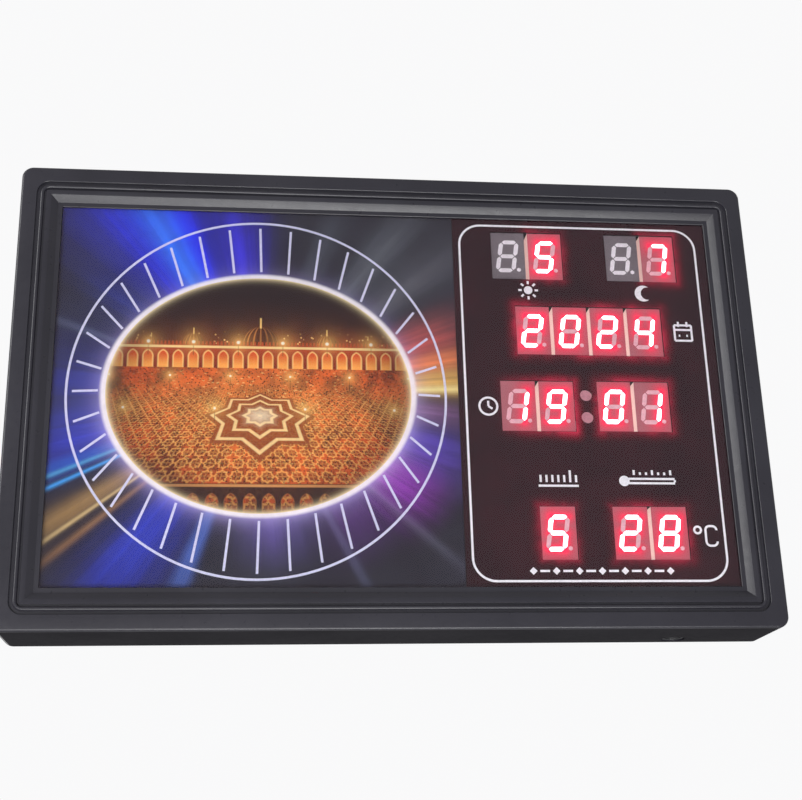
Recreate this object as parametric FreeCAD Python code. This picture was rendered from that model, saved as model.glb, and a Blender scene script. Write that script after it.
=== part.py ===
"""Wall-hung azan clock: a moulded picture frame with a printed dial and an LED calendar.

Row frame, millimetres: +Z up, +X to the right as seen by a reader, the front looks along -Y.
The origin is the middle of the back face, which lies flat on the wall.
"""

import FreeCAD
import Part

import math
import os

Vector = FreeCAD.Vector

# ---------------------------------------------------------------- driving dimensions
WIDTH = 265.0
HEIGHT = 167.0
DEPTH = 30.0
OUTER_RADIUS = 4.0

FRONT_EDGE_CHAMFER = 0.9
WALL = 2.2
COVER_THICKNESS = 2.4
COVER_INSET = 0.4
COVER_EDGE = 0.5
GAP = 0.3
MIN_STEP = 0.001
OVERSHOOT = 1.0
NEAR = 0.01

# Mouldings of the frame: inset from the outer edge, and depth behind the front plane.
CHANNEL_INSET = 5.6
CHANNEL_END = 8.9
CHANNEL_DEPTH = 0.95
CHANNEL_RADIUS = 4.5
BEAD_INSET = 7.45
BEAD_WIDTH = 1.5
STEP_DEPTH = 0.15
BEVEL_INSET = 10.7
BEVEL_END = 13.0
LIP_DEPTH = 2.0
OPENING_INSET = 14.6
GLASS_DEPTH = 2.7

# Rounded top of the bead and of an LED lens: share of the radius, and how far below the crown.
CROWN = ((1.0, 1.0), (0.8, 0.4), (0.3, 0.0))

# Glass and the two films behind it.
GLASS_INSET = 11.6
GLASS_THICKNESS = 2.0
FILM_THICKNESS = 0.4
FILM_SEAM_X = 22.7
SEAM_GAP = 0.2
SEAT_RIB = 1.3
SEAT_RIB_HEIGHT = 2.0

# LED digit modules and their light wells.
MODULE_WIDTH = 12.6
MODULE_HEIGHT = 19.0
MODULE_DEPTH = 8.0
MODULE_PITCH = 13.9
MODULE_FACE_DEPTH = 6.0
DIGIT_WIDTH = 7.4
DIGIT_HEIGHT = 13.0
SEGMENT_WIDTH = 1.6
SEGMENT_GAP = 0.22
DIGIT_SLANT = 9.0
DIGIT_SHIFT = -0.25
WELL_DEPTH = 1.2
POINT_RADIUS = 0.75
POINT_SIDES = 6
POINT_X = 3.85
POINT_Z = -5.4

# Fields of the display: name, centre x, centre z and the figures shown ("_" is unlit).
FIELDS = (
    ("day", 50.5, 55.7, "_5"),
    ("month", 93.45, 55.8, "_7"),
    ("year", 72.15, 26.1, "2024"),
    ("hour", 51.3, -3.0, "19"),
    ("minute", 86.35, -2.8, "01"),
    ("week", 55.9, -49.3, "5"),
    ("temperature", 88.6, -49.25, "28"),
)
LIT_SEGMENTS = {
    "_": "",
    "0": "abcdef",
    "1": "bc",
    "2": "abdeg",
    "4": "bcfg",
    "5": "acdfg",
    "7": "abc",
    "8": "abcdefg",
    "9": "abcdfg",
}
COLON_X = 69.0
COLON_Z = -3.0
COLON_SPREAD = 8.1
LED_RADIUS = 2.4
LED_FLANGE_RADIUS = 2.8
LED_FLANGE = 1.0

# Parts on the rear of the board: width, height and how far they stand off it, then places.
CHIP_STANDOFF = 0.2
LEAD_INSIDE = 0.3
LEAD_REACH = 1.2
LEAD_HEIGHT = 0.5
LEAD_SHARE = 0.9
CONTROLLER_SIZE = (7.6, 18.0, 2.2)
CONTROLLER_PLACE = (46.0, 28.0)
DRIVER_SIZE = (5.4, 12.0, 1.8)
DRIVER_PLACES = ((46.0, 4.0), (60.0, 4.0))
AMPLIFIER_SIZE = (4.0, 6.0, 1.7)
AMPLIFIER_PLACE = (40.0, 52.0)
CRYSTAL_SIZE = (4.6, 11.0)
CRYSTAL_HEIGHT = 3.5
CRYSTAL_PLACE = (60.0, 30.0)
CAPACITOR_RADIUS = 4.0
CAPACITOR_HEIGHT = 9.0
CAPACITOR_PLACES = ((86.0, -48.0), (97.5, -48.0))
REGULATOR_SIZE = (6.6, 6.2, 2.3)
REGULATOR_TAB = (5.2, 3.2, 0.6)
SENSOR_PLACE = (80.0, -66.0)
SENSOR_RADIUS = 2.4
SENSOR_HEIGHT = 4.8
SENSOR_LEG = 1.5
SENSOR_FLAT = 1.4
SENSOR_PITCH = 1.3
SENSOR_WIRE = 0.5

# End chamfer of a slot, as a share of its width.
SLOT_CHAMFER = 1.0 / 3.0

# Main board.
BOARD_LEFT = 28.0
BOARD_RIGHT = 118.0
BOARD_BOTTOM = -72.5
BOARD_TOP = 72.0
BOARD_THICKNESS = 1.6
BOARD_SCREW_X = (33.0, 113.5)
BOARD_SCREW_Z = (-66.0, 66.0)

# Screws: head radius, head height, shank radius, shank length.
COVER_SCREW = (2.7, 1.8, 1.3, 12.0)
BOARD_SCREW = (2.8, 1.9, 1.3, 8.0)
SPEAKER_SCREW = (3.6, 1.5, 1.1, 2.2)

# Flats of the screws, bosses and other small round pieces, and of the larger hidden ones.
SMALL_SIDES = 10
LARGE_SIDES = 18
SHANK_SIDES = 8

# Frame bosses for the cover screws, on the line midway between the wall and the glass seat.
BOSS_INSET = 6.4
BOSS_RADIUS = 3.3
BOSS_END = 5.0
BOSS_PILOT_DEPTH = 14.0
BOSS_WEB = 1.2
BOSS_WEB_HEIGHT = 9.0

# Retaining tabs of the glass.
CLIP_WIDTH = 9.0
CLIP_LENGTH = 10.6
CLIP_THICKNESS = 1.0
CLIP_START = 3.4
CLIP_PEG = 3.0
CLIP_PEG_PROUD = 0.6
CLIP_SIDE_Z = 34.0
CLIP_LONG_X = 72.0
CLIP_SEAT_CUT = 11.0

# Rear cover.
COVER_RIB = 1.4
COVER_RIB_HEIGHT = 3.0
COVER_BOSS_RADIUS = 3.7
COVER_HEAD_RADIUS = 3.1
COVER_HEAD_DEPTH = 2.6
COVER_HOLE_RADIUS = 1.5
POST_RADIUS = 3.2
STIFFENER = 1.2
STIFFENER_HEIGHT = 3.0
STIFFENER_INSET = 3.2
STIFFENER_X = (-112.0, -22.0, 23.0)
STIFFENER_Z = (-58.0, 42.0)
BOARD_STIFFENER_Z = -28.0

# Keyholes: round entry for the screw head, slot for its shank.
KEYHOLE_X = 80.0
KEYHOLE_Z = 60.0
KEYHOLE_RADIUS = 4.5
KEYHOLE_SLOT = 4.4
KEYHOLE_RISE = 8.5
GUARD_WIDTH = 15.0
GUARD_BELOW = 8.0
GUARD_ABOVE = 14.5
GUARD_WALL = 1.2
GUARD_HEIGHT = 6.0

# Speaker and its grille.
SPEAKER_X = -68.0
SPEAKER_Z = -8.0
SPEAKER_RADIUS = 28.5
SPEAKER_FLANGE = 1.0
CONE_RADIUS = 25.0
CONE_NECK = 8.0
CONE_DEPTH = 8.5
CONE_THICKNESS = 0.5
SURROUND_WIDTH = 1.6
DUST_CAP_RADIUS = 8.0
DUST_CAP_RISE = 2.2
BASKET_REAR_RADIUS = 15.0
BASKET_DEPTH = 10.5
BASKET_SHEET = 0.8
MAGNET_RADIUS = 15.5
MAGNET_HEIGHT = 7.5
SPEAKER_SCREWS = 3
SPEAKER_SCREW_RING = 31.0
SPEAKER_SCREW_START = 90.0
SPEAKER_PILOT_FLOOR = 1.0
SPEAKER_RING_GAP = 0.4
SPEAKER_RING_WALL = 1.4
SPEAKER_RING_HEIGHT = 3.0
GRILLE_RADIUS = 25.0
GRILLE_SLOTS = 9
GRILLE_SLOT = 2.2
GRILLE_PITCH = 5.2

# Vents above the voltage regulator.
VENT_X = 100.0
VENT_Z = 33.0
VENT_COUNT = 6
VENT_PITCH = 4.6
VENT_WIDTH = 2.0
VENT_LENGTH = 20.0

# Push buttons in a shallow recess of the cover.
BUTTONS = ("mode_button", "set_button", "up_button", "down_button")
BUTTON_CENTRE_X = 82.0
BUTTON_Z = -14.0
BUTTON_PITCH = 15.0
BUTTON_RADIUS = 3.6
BUTTON_GAP = 0.35
BUTTON_TOP = 0.4
BUTTON_EDGE = 0.5
BUTTON_FLANGE_RADIUS = 4.9
BUTTON_FLANGE = 1.0
BUTTON_STEM_RADIUS = 1.6
PANEL_WIDTH = 62.0
PANEL_HEIGHT = 15.0
PANEL_DEPTH = 1.2
SWITCH_SIZE = 6.0
SWITCH_HEIGHT = 3.5
PLUNGER_RADIUS = 1.7
PLUNGER_GAP = 0.15
PLUNGER_PROUD = 1.5
PLUNGER_SUNK = 0.4
PLUNGER_WELL = 1.5

# Battery door, which slides down off the cover's lower edge.
DOOR_X = 58.0
DOOR_WIDTH = 34.0
DOOR_TOP = -42.0
DOOR_THICKNESS = 1.5
DOOR_PLAY = 0.15
DOOR_TONGUE = 1.0
DOOR_TONGUE_THICKNESS = 0.75
DOOR_HOOK = 1.8
DOOR_SKIN = 0.6
DOOR_GRIPS = 5
DOOR_GRIP_PITCH = 2.2
DOOR_GRIP_WIDTH = 1.0
DOOR_GRIP_LENGTH = 16.0
DOOR_GRIP_DEPTH = 0.4
DOOR_GRIP_START = 6.0
DOOR_ARROW = 5.0
DOOR_ARROW_START = 22.0
BAY_SIZE = 27.0
BAY_Z = -58.0

# Coin cell, 20 mm across and 3.2 mm thick, and its holder.
CELL_RADIUS = 10.0
CELL_THICKNESS = 3.2
HOLDER_RADIUS = 11.6
HOLDER_HEIGHT = 4.4
HOLDER_FLOOR = 0.9
HOLDER_PLAY = 0.2
HOLDER_NOTCH = 9.0
HOLDER_NOTCH_REACH = 2.0

# Power inlet, a barrel jack at the lower edge.
JACK_X = 98.0
JACK_WIDTH = 9.0
JACK_HEIGHT = 10.8
JACK_LENGTH = 14.0
JACK_AXIS_HEIGHT = 6.5
JACK_NOSE_RADIUS = 4.0
JACK_NOSE = 1.8
JACK_BORE_RADIUS = 3.1
JACK_BORE_DEPTH = 10.0
JACK_PIN_RADIUS = 1.0
JACK_HOLE_RADIUS = 4.3
JACK_SETBACK = 0.1
JACK_PIN_SETBACK = 1.0
JACK_CLEARANCE = 1.0

# ---------------------------------------------------------------- derived planes (y values)
FRONT = -DEPTH
GLASS_FRONT = FRONT + GLASS_DEPTH
GLASS_BACK = GLASS_FRONT + GLASS_THICKNESS
FILM_BACK = GLASS_BACK + FILM_THICKNESS
MODULE_FACE = FRONT + MODULE_FACE_DEPTH
BOARD_FRONT = MODULE_FACE + MODULE_DEPTH
BOARD_BACK = BOARD_FRONT + BOARD_THICKNESS
COVER_FRONT = -COVER_THICKNESS
PANEL_FRONT = COVER_FRONT - PANEL_DEPTH
BOSS_FACE = -BOSS_END
SPEAKER_FACE = COVER_FRONT


# ---------------------------------------------------------------- shape helpers
def outline(width, height, radius, y, x=0.0, z=0.0):
    """Closed wire of a rectangle with rounded corners, in the plane of constant y."""
    half_w = width / 2.0
    half_h = height / 2.0
    if radius <= 0.0:
        corners = [(-half_w, -half_h), (half_w, -half_h), (half_w, half_h), (-half_w, half_h)]
        points = [Vector(x + cx, y, z + cz) for cx, cz in corners]
        return Part.makePolygon(points + points[:1])
    edges = []
    diagonal = radius * math.sqrt(0.5)
    turns = ((1, -1), (1, 1), (-1, 1), (-1, -1))
    for index, (sx, sz) in enumerate(turns):
        centre = Vector(x + sx * (half_w - radius), y, z + sz * (half_h - radius))
        across = Vector(sx * radius, 0, 0)
        along = Vector(0, 0, sz * radius)
        start, end = (along, across) if sx * sz < 0 else (across, along)
        middle = Vector(sx * diagonal, 0, sz * diagonal)
        edges.append(Part.Arc(centre + start, centre + middle, centre + end).toShape())
        next_x, next_z = turns[(index + 1) % 4]
        next_centre = Vector(x + next_x * (half_w - radius), y, z + next_z * (half_h - radius))
        next_start = along if sx * sz > 0 else across
        edges.append(Part.LineSegment(centre + end, next_centre + next_start).toShape())
    return Part.Wire(Part.__sortEdges__(edges))


def slab(width, height, radius, y_start, y_end, x=0.0, z=0.0):
    """Solid rounded rectangle between two planes of constant y."""
    face = Part.Face(outline(width, height, radius, y_start, x, z))
    return face.extrude(Vector(0, y_end - y_start, 0))


def inset_slab(inset, radius, y_start, y_end):
    """Solid that follows the clock's outer rectangle at a constant inset."""
    return slab(WIDTH - 2 * inset, HEIGHT - 2 * inset, radius, y_start, y_end)


def box(x_range, y_range, z_range):
    """Axis-aligned box from three (low, high) pairs."""
    sizes = [high - low for low, high in (x_range, y_range, z_range)]
    return Part.makeBox(*sizes, Vector(x_range[0], y_range[0], z_range[0]))


def rod(radius, y_start, y_end, x, z):
    """Cylinder along Y between two planes."""
    low, high = sorted((y_start, y_end))
    return Part.makeCylinder(radius, high - low, Vector(x, low, z), Vector(0, 1, 0))


def ring_points(radius, sides, y, x, z):
    """Closed ring of points round a regular polygon with the area of that circle."""
    step = 2.0 * math.pi / sides
    reach = radius * math.sqrt(step / math.sin(step))
    angles = [step * (index + 0.5) for index in range(sides)]
    points = [Vector(x + reach * math.cos(angle), y, z + reach * math.sin(angle)) for angle in angles]
    return points + points[:1]


def prism(radius, sides, y_start, y_end, x, z):
    """Regular prism along Y with the section area of a cylinder of that radius."""
    face = Part.Face(Part.makePolygon(ring_points(radius, sides, y_start, x, z)))
    return face.extrude(Vector(0, y_end - y_start, 0))


def small_rod(radius, y_start, y_end, x, z):
    """Small round piece such as a boss, a pilot hole or a shank."""
    return prism(radius, SMALL_SIDES, y_start, y_end, x, z)


def hole(radius, y_start, y_end, x, z):
    """Hole for a screw's shank or a plunger, or the shank itself."""
    return prism(radius, SHANK_SIDES, y_start, y_end, x, z)


def slot(width, length, y_start, y_end, x, z):
    """Upright slot with chamfered ends, centred on x and z."""
    half = width / 2.0
    end = length / 2.0
    cut = width * SLOT_CHAMFER
    right = [(half, cut - end), (half, end - cut), (half - cut, end), (cut - half, end)]
    left = [(-half, end - cut), (-half, cut - end), (cut - half, -end), (half - cut, -end)]
    corners = [Vector(x + px, y_start, z + pz) for px, pz in right + left]
    face = Part.Face(Part.makePolygon(corners + corners[:1]))
    return face.extrude(Vector(0, y_end - y_start, 0))


def joined(shapes):
    """One solid from several that touch or overlap."""
    shapes = list(shapes)
    return shapes[0].fuse(shapes[1:]).removeSplitter() if len(shapes) > 1 else shapes[0]


def frustum(sides, start, end, x, z):
    """Faceted cone or cylinder along Y between two (radius, y) stations."""
    rings = [ring_points(radius, sides, y, x, z) for radius, y in (start, end)]
    faces = [Part.Face(Part.makePolygon(ring)) for ring in rings]
    for index in range(sides):
        low = [ring[index] for ring in rings]
        high = [ring[index + 1] for ring in rings]
        faces.append(Part.Face(Part.makePolygon([low[0], high[0], high[1], low[1], low[0]])))
    return Part.Solid(Part.Shell(faces))


def stack(sides, stations, x, z):
    """Faceted solid along Y through a list of (radius, y) stations."""
    return joined(frustum(sides, start, end, x, z) for start, end in zip(stations, stations[1:]))


def screw(sizes, x, z, seat, toward):
    """Pan-head screw; its head rests on the plane y = seat.

    toward is the sign of the Y direction in which the shank points.
    """
    head_radius, head_height, shank_radius, shank_length = sizes
    head = small_rod(head_radius, seat, seat - toward * head_height, x, z)
    shank = hole(shank_radius, seat, seat + toward * shank_length, x, z)
    return joined([head, shank])


# ---------------------------------------------------------------- places that several pieces share
def boss_places():
    """Places of the four cover screws."""
    side = WIDTH / 2.0 - BOSS_INSET
    top = HEIGHT / 2.0 - BOSS_INSET
    return [(x, z) for x in (-side, side) for z in (-top, top)]


def clip_places():
    """Places of the eight glass tabs: x, z and the inward direction."""
    side = WIDTH / 2.0 - BOSS_INSET
    top = HEIGHT / 2.0 - BOSS_INSET
    places = [(x, sz * top, 0, -sz) for x in (-CLIP_LONG_X, CLIP_LONG_X) for sz in (-1, 1)]
    places += [(sx * side, z, -sx, 0) for sx in (-1, 1) for z in (-CLIP_SIDE_Z, CLIP_SIDE_Z)]
    return places


def board_screw_places():
    """Places of the four board screws."""
    return [(x, z) for x in BOARD_SCREW_X for z in BOARD_SCREW_Z]


def speaker_screw_places():
    """Places of the three screws round the speaker."""
    places = []
    for index in range(SPEAKER_SCREWS):
        angle = math.radians(SPEAKER_SCREW_START + index * 360.0 / SPEAKER_SCREWS)
        x = SPEAKER_X + SPEAKER_SCREW_RING * math.cos(angle)
        z = SPEAKER_Z + SPEAKER_SCREW_RING * math.sin(angle)
        places.append((x, z))
    return places


def button_places():
    """Button names with their x places."""
    start = BUTTON_CENTRE_X - BUTTON_PITCH * (len(BUTTONS) - 1) / 2.0
    return [(name, start + index * BUTTON_PITCH) for index, name in enumerate(BUTTONS)]


# ---------------------------------------------------------------- front frame
def bead_ring():
    """Raised bead that runs round the frame inside its channel, with an arched top."""
    half = BEAD_WIDTH / 2.0
    radius = CHANNEL_RADIUS - (BEAD_INSET - CHANNEL_INSET)
    levels = [(half, CHANNEL_DEPTH)] + [(half * share, half * drop) for share, drop in CROWN]
    ring = None
    for (wide, low), (narrow, high) in zip(levels, levels[1:]):
        outer = bead_layer(wide, low, narrow, high, radius, 1)
        inner = bead_layer(wide, low, narrow, high, radius, -1)
        layer = outer.cut(inner)
        ring = layer if ring is None else ring.fuse(layer)
    return ring


def bead_layer(wide, low, narrow, high, radius, side):
    """Block between two depths, bounded by one flank of the bead."""
    wires = []
    for reach, depth in ((wide, low), (narrow, high)):
        inset = BEAD_INSET - side * reach
        wires.append(outline(WIDTH - 2 * inset, HEIGHT - 2 * inset, radius + side * reach, FRONT + depth))
    return Part.makeLoft(wires, True, True)


def front_plate():
    """Front of the frame with its stepped, bevelled mouldings and the opening."""
    plate = inset_slab(0.0, OUTER_RADIUS, FRONT, GLASS_FRONT)
    rim = [edge for edge in plate.Edges if edge.BoundBox.YMax < FRONT + NEAR]
    plate = plate.makeChamfer(FRONT_EDGE_CHAMFER, rim)
    channel = inset_slab(CHANNEL_INSET, CHANNEL_RADIUS, FRONT, FRONT + CHANNEL_DEPTH)
    channel = channel.cut(inset_slab(CHANNEL_END, 0, FRONT, FRONT + CHANNEL_DEPTH))
    step = inset_slab(CHANNEL_END, 0, FRONT, FRONT + STEP_DEPTH)
    high = outline(WIDTH - 2 * BEVEL_INSET, HEIGHT - 2 * BEVEL_INSET, 0, FRONT + STEP_DEPTH)
    low = outline(WIDTH - 2 * BEVEL_END, HEIGHT - 2 * BEVEL_END, 0, FRONT + LIP_DEPTH)
    bevel = Part.makeLoft([high, low], True, True)
    opening = inset_slab(OPENING_INSET, 0, FRONT, GLASS_FRONT)
    return plate.cut([channel, step, bevel, opening]).fuse(bead_ring())


def seat_rib():
    """Low rib that locates the glass, broken where the tabs pass over it."""
    inner = GLASS_INSET - GAP
    outer = inner - SEAT_RIB
    top = GLASS_FRONT + SEAT_RIB_HEIGHT
    rib = inset_slab(outer, 0, GLASS_FRONT, top).cut(inset_slab(inner, 0, GLASS_FRONT, top))
    half = CLIP_SEAT_CUT / 2.0
    gaps = []
    for x, z, along_x, along_z in clip_places():
        reach_x = half if along_z else OPENING_INSET
        reach_z = half if along_x else OPENING_INSET
        gaps.append(box((x - reach_x, x + reach_x), (GLASS_FRONT, top), (z - reach_z, z + reach_z)))
    return rib.cut(gaps)


def side_walls():
    """Walls that run back from the front plate to the rear cover."""
    walls = inset_slab(0.0, OUTER_RADIUS, GLASS_FRONT, COVER_FRONT)
    walls = walls.cut(inset_slab(WALL, 0, GLASS_FRONT, COVER_FRONT))
    bottom = -HEIGHT / 2.0
    return walls.cut(jack_round(JACK_HOLE_RADIUS, LARGE_SIDES, bottom - WALL, bottom + 2.0 * WALL))


def frame_boss(x, z):
    """Boss for one cover screw with two webs to the nearest walls."""
    boss = small_rod(BOSS_RADIUS, GLASS_FRONT, BOSS_FACE, x, z)
    half = BOSS_WEB / 2.0
    levels = (GLASS_FRONT, GLASS_FRONT + BOSS_WEB_HEIGHT)
    edge_z = math.copysign(HEIGHT / 2.0 - WALL / 2.0, z)
    edge_x = math.copysign(WIDTH / 2.0 - WALL / 2.0, x)
    webs = [box((x - half, x + half), levels, sorted((z, edge_z)))]
    webs.append(box(sorted((x, edge_x)), levels, (z - half, z + half)))
    return boss.fuse(webs).cut(hole(COVER_SCREW[2], BOSS_FACE, BOSS_FACE - BOSS_PILOT_DEPTH, x, z))


def clip_peg(x, z):
    """Square peg that one glass tab is pressed over."""
    top = FILM_BACK + CLIP_THICKNESS + CLIP_PEG_PROUD
    return slab(CLIP_PEG, CLIP_PEG, 0, GLASS_FRONT, top, x, z)


def front_frame():
    """Moulded frame in one piece."""
    pieces = [side_walls(), seat_rib()]
    pieces += [frame_boss(x, z) for x, z in boss_places()]
    pieces += [clip_peg(x, z) for x, z, _, _ in clip_places()]
    return front_plate().fuse(pieces).removeSplitter()


# ---------------------------------------------------------------- glass, films and their tabs
def front_glass():
    """Clear pane."""
    return inset_slab(GLASS_INSET, 0, GLASS_FRONT, GLASS_BACK)


def film(x_low, x_high):
    """Thin sheet behind the glass between two x places."""
    half_z = HEIGHT / 2.0 - GLASS_INSET
    return box((x_low, x_high), (GLASS_BACK, FILM_BACK), (-half_z, half_z))


def picture_print():
    """Printed film of the dial, left of the seam."""
    return film(GLASS_INSET - WIDTH / 2.0, FILM_SEAM_X - SEAM_GAP / 2.0)


def window_film():
    """Tinted see-through film in front of the display."""
    return film(FILM_SEAM_X + SEAM_GAP / 2.0, WIDTH / 2.0 - GLASS_INSET)


def glass_clip(x, z, along_x, along_z):
    """Retaining tab, pressed over its peg, that reaches in over the edge of the glass."""
    middle = CLIP_START + CLIP_LENGTH / 2.0 - BOSS_INSET
    size_x = CLIP_LENGTH if along_x else CLIP_WIDTH
    size_z = CLIP_LENGTH if along_z else CLIP_WIDTH
    rear = FILM_BACK + CLIP_THICKNESS
    tab = slab(size_x, size_z, 0, FILM_BACK, rear, x + along_x * middle, z + along_z * middle)
    return tab.cut(slab(CLIP_PEG, CLIP_PEG, 0, FILM_BACK, rear, x, z))


def glass_clips():
    """All eight tabs."""
    return Part.makeCompound([glass_clip(*place) for place in clip_places()])


# ---------------------------------------------------------------- LED digits
def segment_points(name):
    """Corners of one upright segment, as (x, z) from the digit's centre."""
    half_w = (DIGIT_WIDTH - SEGMENT_WIDTH) / 2.0
    half_h = (DIGIT_HEIGHT - SEGMENT_WIDTH) / 2.0
    half = SEGMENT_WIDTH / 2.0
    if name in "adg":
        z = {"a": half_h, "g": 0.0, "d": -half_h}[name]
        end = half_w - SEGMENT_GAP
        short = end - half
        upper = [(-end, z), (-short, z + half), (short, z + half)]
        return upper + [(end, z), (short, z - half), (-short, z - half)]
    x = half_w if name in "bc" else -half_w
    low, high = SEGMENT_GAP, half_h - SEGMENT_GAP
    if name in "ce":
        low, high = -high, -low
    return [
        (x, low),
        (x + half, low + half),
        (x + half, high - half),
        (x, high),
        (x - half, high - half),
        (x - half, low + half),
    ]


def segment(name, x, z):
    """Milky light well of one segment, slanted with its digit and flush with the face."""
    lean = math.tan(math.radians(DIGIT_SLANT))
    start = x + DIGIT_SHIFT
    corners = [Vector(start + px + pz * lean, MODULE_FACE, z + pz) for px, pz in segment_points(name)]
    face = Part.Face(Part.makePolygon(corners + corners[:1]))
    return face.extrude(Vector(0, WELL_DEPTH, 0))


def decimal_point(x, z):
    """Round light well at the foot of a digit."""
    return prism(POINT_RADIUS, POINT_SIDES, MODULE_FACE, MODULE_FACE + WELL_DEPTH, x + POINT_X, z + POINT_Z)


def module_places(field):
    """Node name, x, z and figure of every digit in a field."""
    name, centre_x, centre_z, figures = field
    count = len(figures)
    ranks = {1: ("digit",), 2: ("tens", "units"), 4: ("thousands", "hundreds", "tens", "units")}[count]
    start = centre_x - MODULE_PITCH * (count - 1) / 2.0
    return [
        (f"{name}_{rank}_module", start + index * MODULE_PITCH, centre_z, figure)
        for index, (rank, figure) in enumerate(zip(ranks, figures))
    ]


def digit_module(x, z):
    """Body of one digit: a box with a well for every segment and the point."""
    body = slab(MODULE_WIDTH, MODULE_HEIGHT, 0, MODULE_FACE, BOARD_FRONT, x, z)
    wells = [segment(name, x, z) for name in "abcdefg"]
    return body.cut(wells + [decimal_point(x, z)])


def digit_nodes():
    """Every digit body, the lit wells of each field and all unlit wells."""
    nodes = {}
    unlit = []
    for field in FIELDS:
        lit = []
        for node, x, z, figure in module_places(field):
            nodes[node] = digit_module(x, z)
            for name in "abcdefg":
                group = lit if name in LIT_SEGMENTS[figure] else unlit
                group.append(segment(name, x, z))
            unlit.append(decimal_point(x, z))
        nodes[f"{field[0]}_lit_segments"] = Part.makeCompound(lit)
    nodes["unlit_segments"] = Part.makeCompound(unlit)
    return nodes


def colon_led(x, z):
    """Round LED with its base flange and its domed lens."""
    base = BOARD_FRONT - LED_FLANGE
    stations = [(LED_RADIUS, base)]
    stations += [(share * LED_RADIUS, MODULE_FACE + drop * LED_RADIUS) for share, drop in CROWN]
    flange = small_rod(LED_FLANGE_RADIUS, BOARD_FRONT, base, x, z)
    return joined([stack(SMALL_SIDES, stations, x, z), flange])


def colon_leds():
    """Upper and lower dot of the colon."""
    half = COLON_SPREAD / 2.0
    return Part.makeCompound([colon_led(COLON_X, COLON_Z + half), colon_led(COLON_X, COLON_Z - half)])


# ---------------------------------------------------------------- main board and what is on it
def board_part(width, height, tall, x, z):
    """Block soldered on the rear of the board."""
    return slab(width, height, 0, BOARD_BACK, BOARD_BACK + tall, x, z)


def main_board():
    """Board with its four screw holes."""
    x = (BOARD_LEFT + BOARD_RIGHT) / 2.0
    z = (BOARD_BOTTOM + BOARD_TOP) / 2.0
    width = BOARD_RIGHT - BOARD_LEFT
    height = BOARD_TOP - BOARD_BOTTOM
    holes = [hole(BOARD_SCREW[2], BOARD_FRONT, BOARD_BACK, *place) for place in board_screw_places()]
    return slab(width, height, 0, BOARD_FRONT, BOARD_BACK, x, z).cut(holes)


def leaded_chip(width, height, tall, x, z):
    """Flat chip on a strip of leads along each of its two long sides."""
    body = slab(width, height, 0, BOARD_BACK + CHIP_STANDOFF, BOARD_BACK + tall, x, z)
    strip_width = LEAD_INSIDE + LEAD_REACH
    offset = (width + LEAD_REACH - LEAD_INSIDE) / 2.0
    strip_sizes = (strip_width, height * LEAD_SHARE, LEAD_HEIGHT)
    return joined([body] + [board_part(*strip_sizes, x + side * offset, z) for side in (-1, 1)])


def controller_chip():
    """Controller that runs the calendar and the call times."""
    return leaded_chip(*CONTROLLER_SIZE, *CONTROLLER_PLACE)


def driver_chips():
    """Two chips that drive the digits."""
    return Part.makeCompound([leaded_chip(*DRIVER_SIZE, x, z) for x, z in DRIVER_PLACES])


def amplifier_chip():
    """Audio amplifier of the speaker."""
    return leaded_chip(*AMPLIFIER_SIZE, *AMPLIFIER_PLACE)


def crystal_can():
    """Low metal can of the clock crystal."""
    return slot(*CRYSTAL_SIZE, BOARD_BACK, BOARD_BACK + CRYSTAL_HEIGHT, *CRYSTAL_PLACE)


def filter_capacitors():
    """Two upright round capacitors beside the power inlet."""
    top = BOARD_BACK + CAPACITOR_HEIGHT
    cans = [small_rod(CAPACITOR_RADIUS, BOARD_BACK, top, x, z) for x, z in CAPACITOR_PLACES]
    return Part.makeCompound(cans)


def voltage_regulator():
    """Flat power package with its metal tab."""
    body = board_part(*REGULATOR_SIZE, VENT_X, VENT_Z)
    tab = board_part(*REGULATOR_TAB, VENT_X, VENT_Z + (REGULATOR_SIZE[1] + REGULATOR_TAB[1]) / 2.0)
    return joined([body, tab])


def temperature_sensor():
    """Three-legged sensor with a flat side, near the board's lower edge."""
    x, z = SENSOR_PLACE
    foot = BOARD_BACK + SENSOR_LEG
    top = foot + SENSOR_HEIGHT
    body = small_rod(SENSOR_RADIUS, foot, top, x, z)
    reach = 2.0 * SENSOR_RADIUS
    body = body.cut(box((x - reach, x + reach), (foot, top), (z + SENSOR_FLAT, z + reach)))
    half = SENSOR_WIRE / 2.0
    legs = []
    for offset in (-SENSOR_PITCH, 0.0, SENSOR_PITCH):
        legs.append(box((x + offset - half, x + offset + half), (BOARD_BACK, foot), (z - half, z + half)))
    return body.fuse(legs)


def coin_cell_holder():
    """Round open holder with a notch to lift the cell out."""
    floor = BOARD_BACK + HOLDER_FLOOR
    ring = prism(HOLDER_RADIUS, LARGE_SIDES, BOARD_BACK, BOARD_BACK + HOLDER_HEIGHT, DOOR_X, BAY_Z)
    pocket = prism(CELL_RADIUS + HOLDER_PLAY, LARGE_SIDES, floor, BOARD_BACK + HOLDER_HEIGHT, DOOR_X, BAY_Z)
    half = HOLDER_NOTCH / 2.0
    notch = box(
        (DOOR_X - half, DOOR_X + half),
        (floor, BOARD_BACK + HOLDER_HEIGHT),
        (BAY_Z - HOLDER_RADIUS - OVERSHOOT, BAY_Z - CELL_RADIUS + HOLDER_NOTCH_REACH),
    )
    return ring.cut([pocket, notch])


def coin_cell():
    """Coin cell that keeps the time through a power cut."""
    low = BOARD_BACK + HOLDER_FLOOR
    return prism(CELL_RADIUS, LARGE_SIDES, low, low + CELL_THICKNESS, DOOR_X, BAY_Z)


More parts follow.
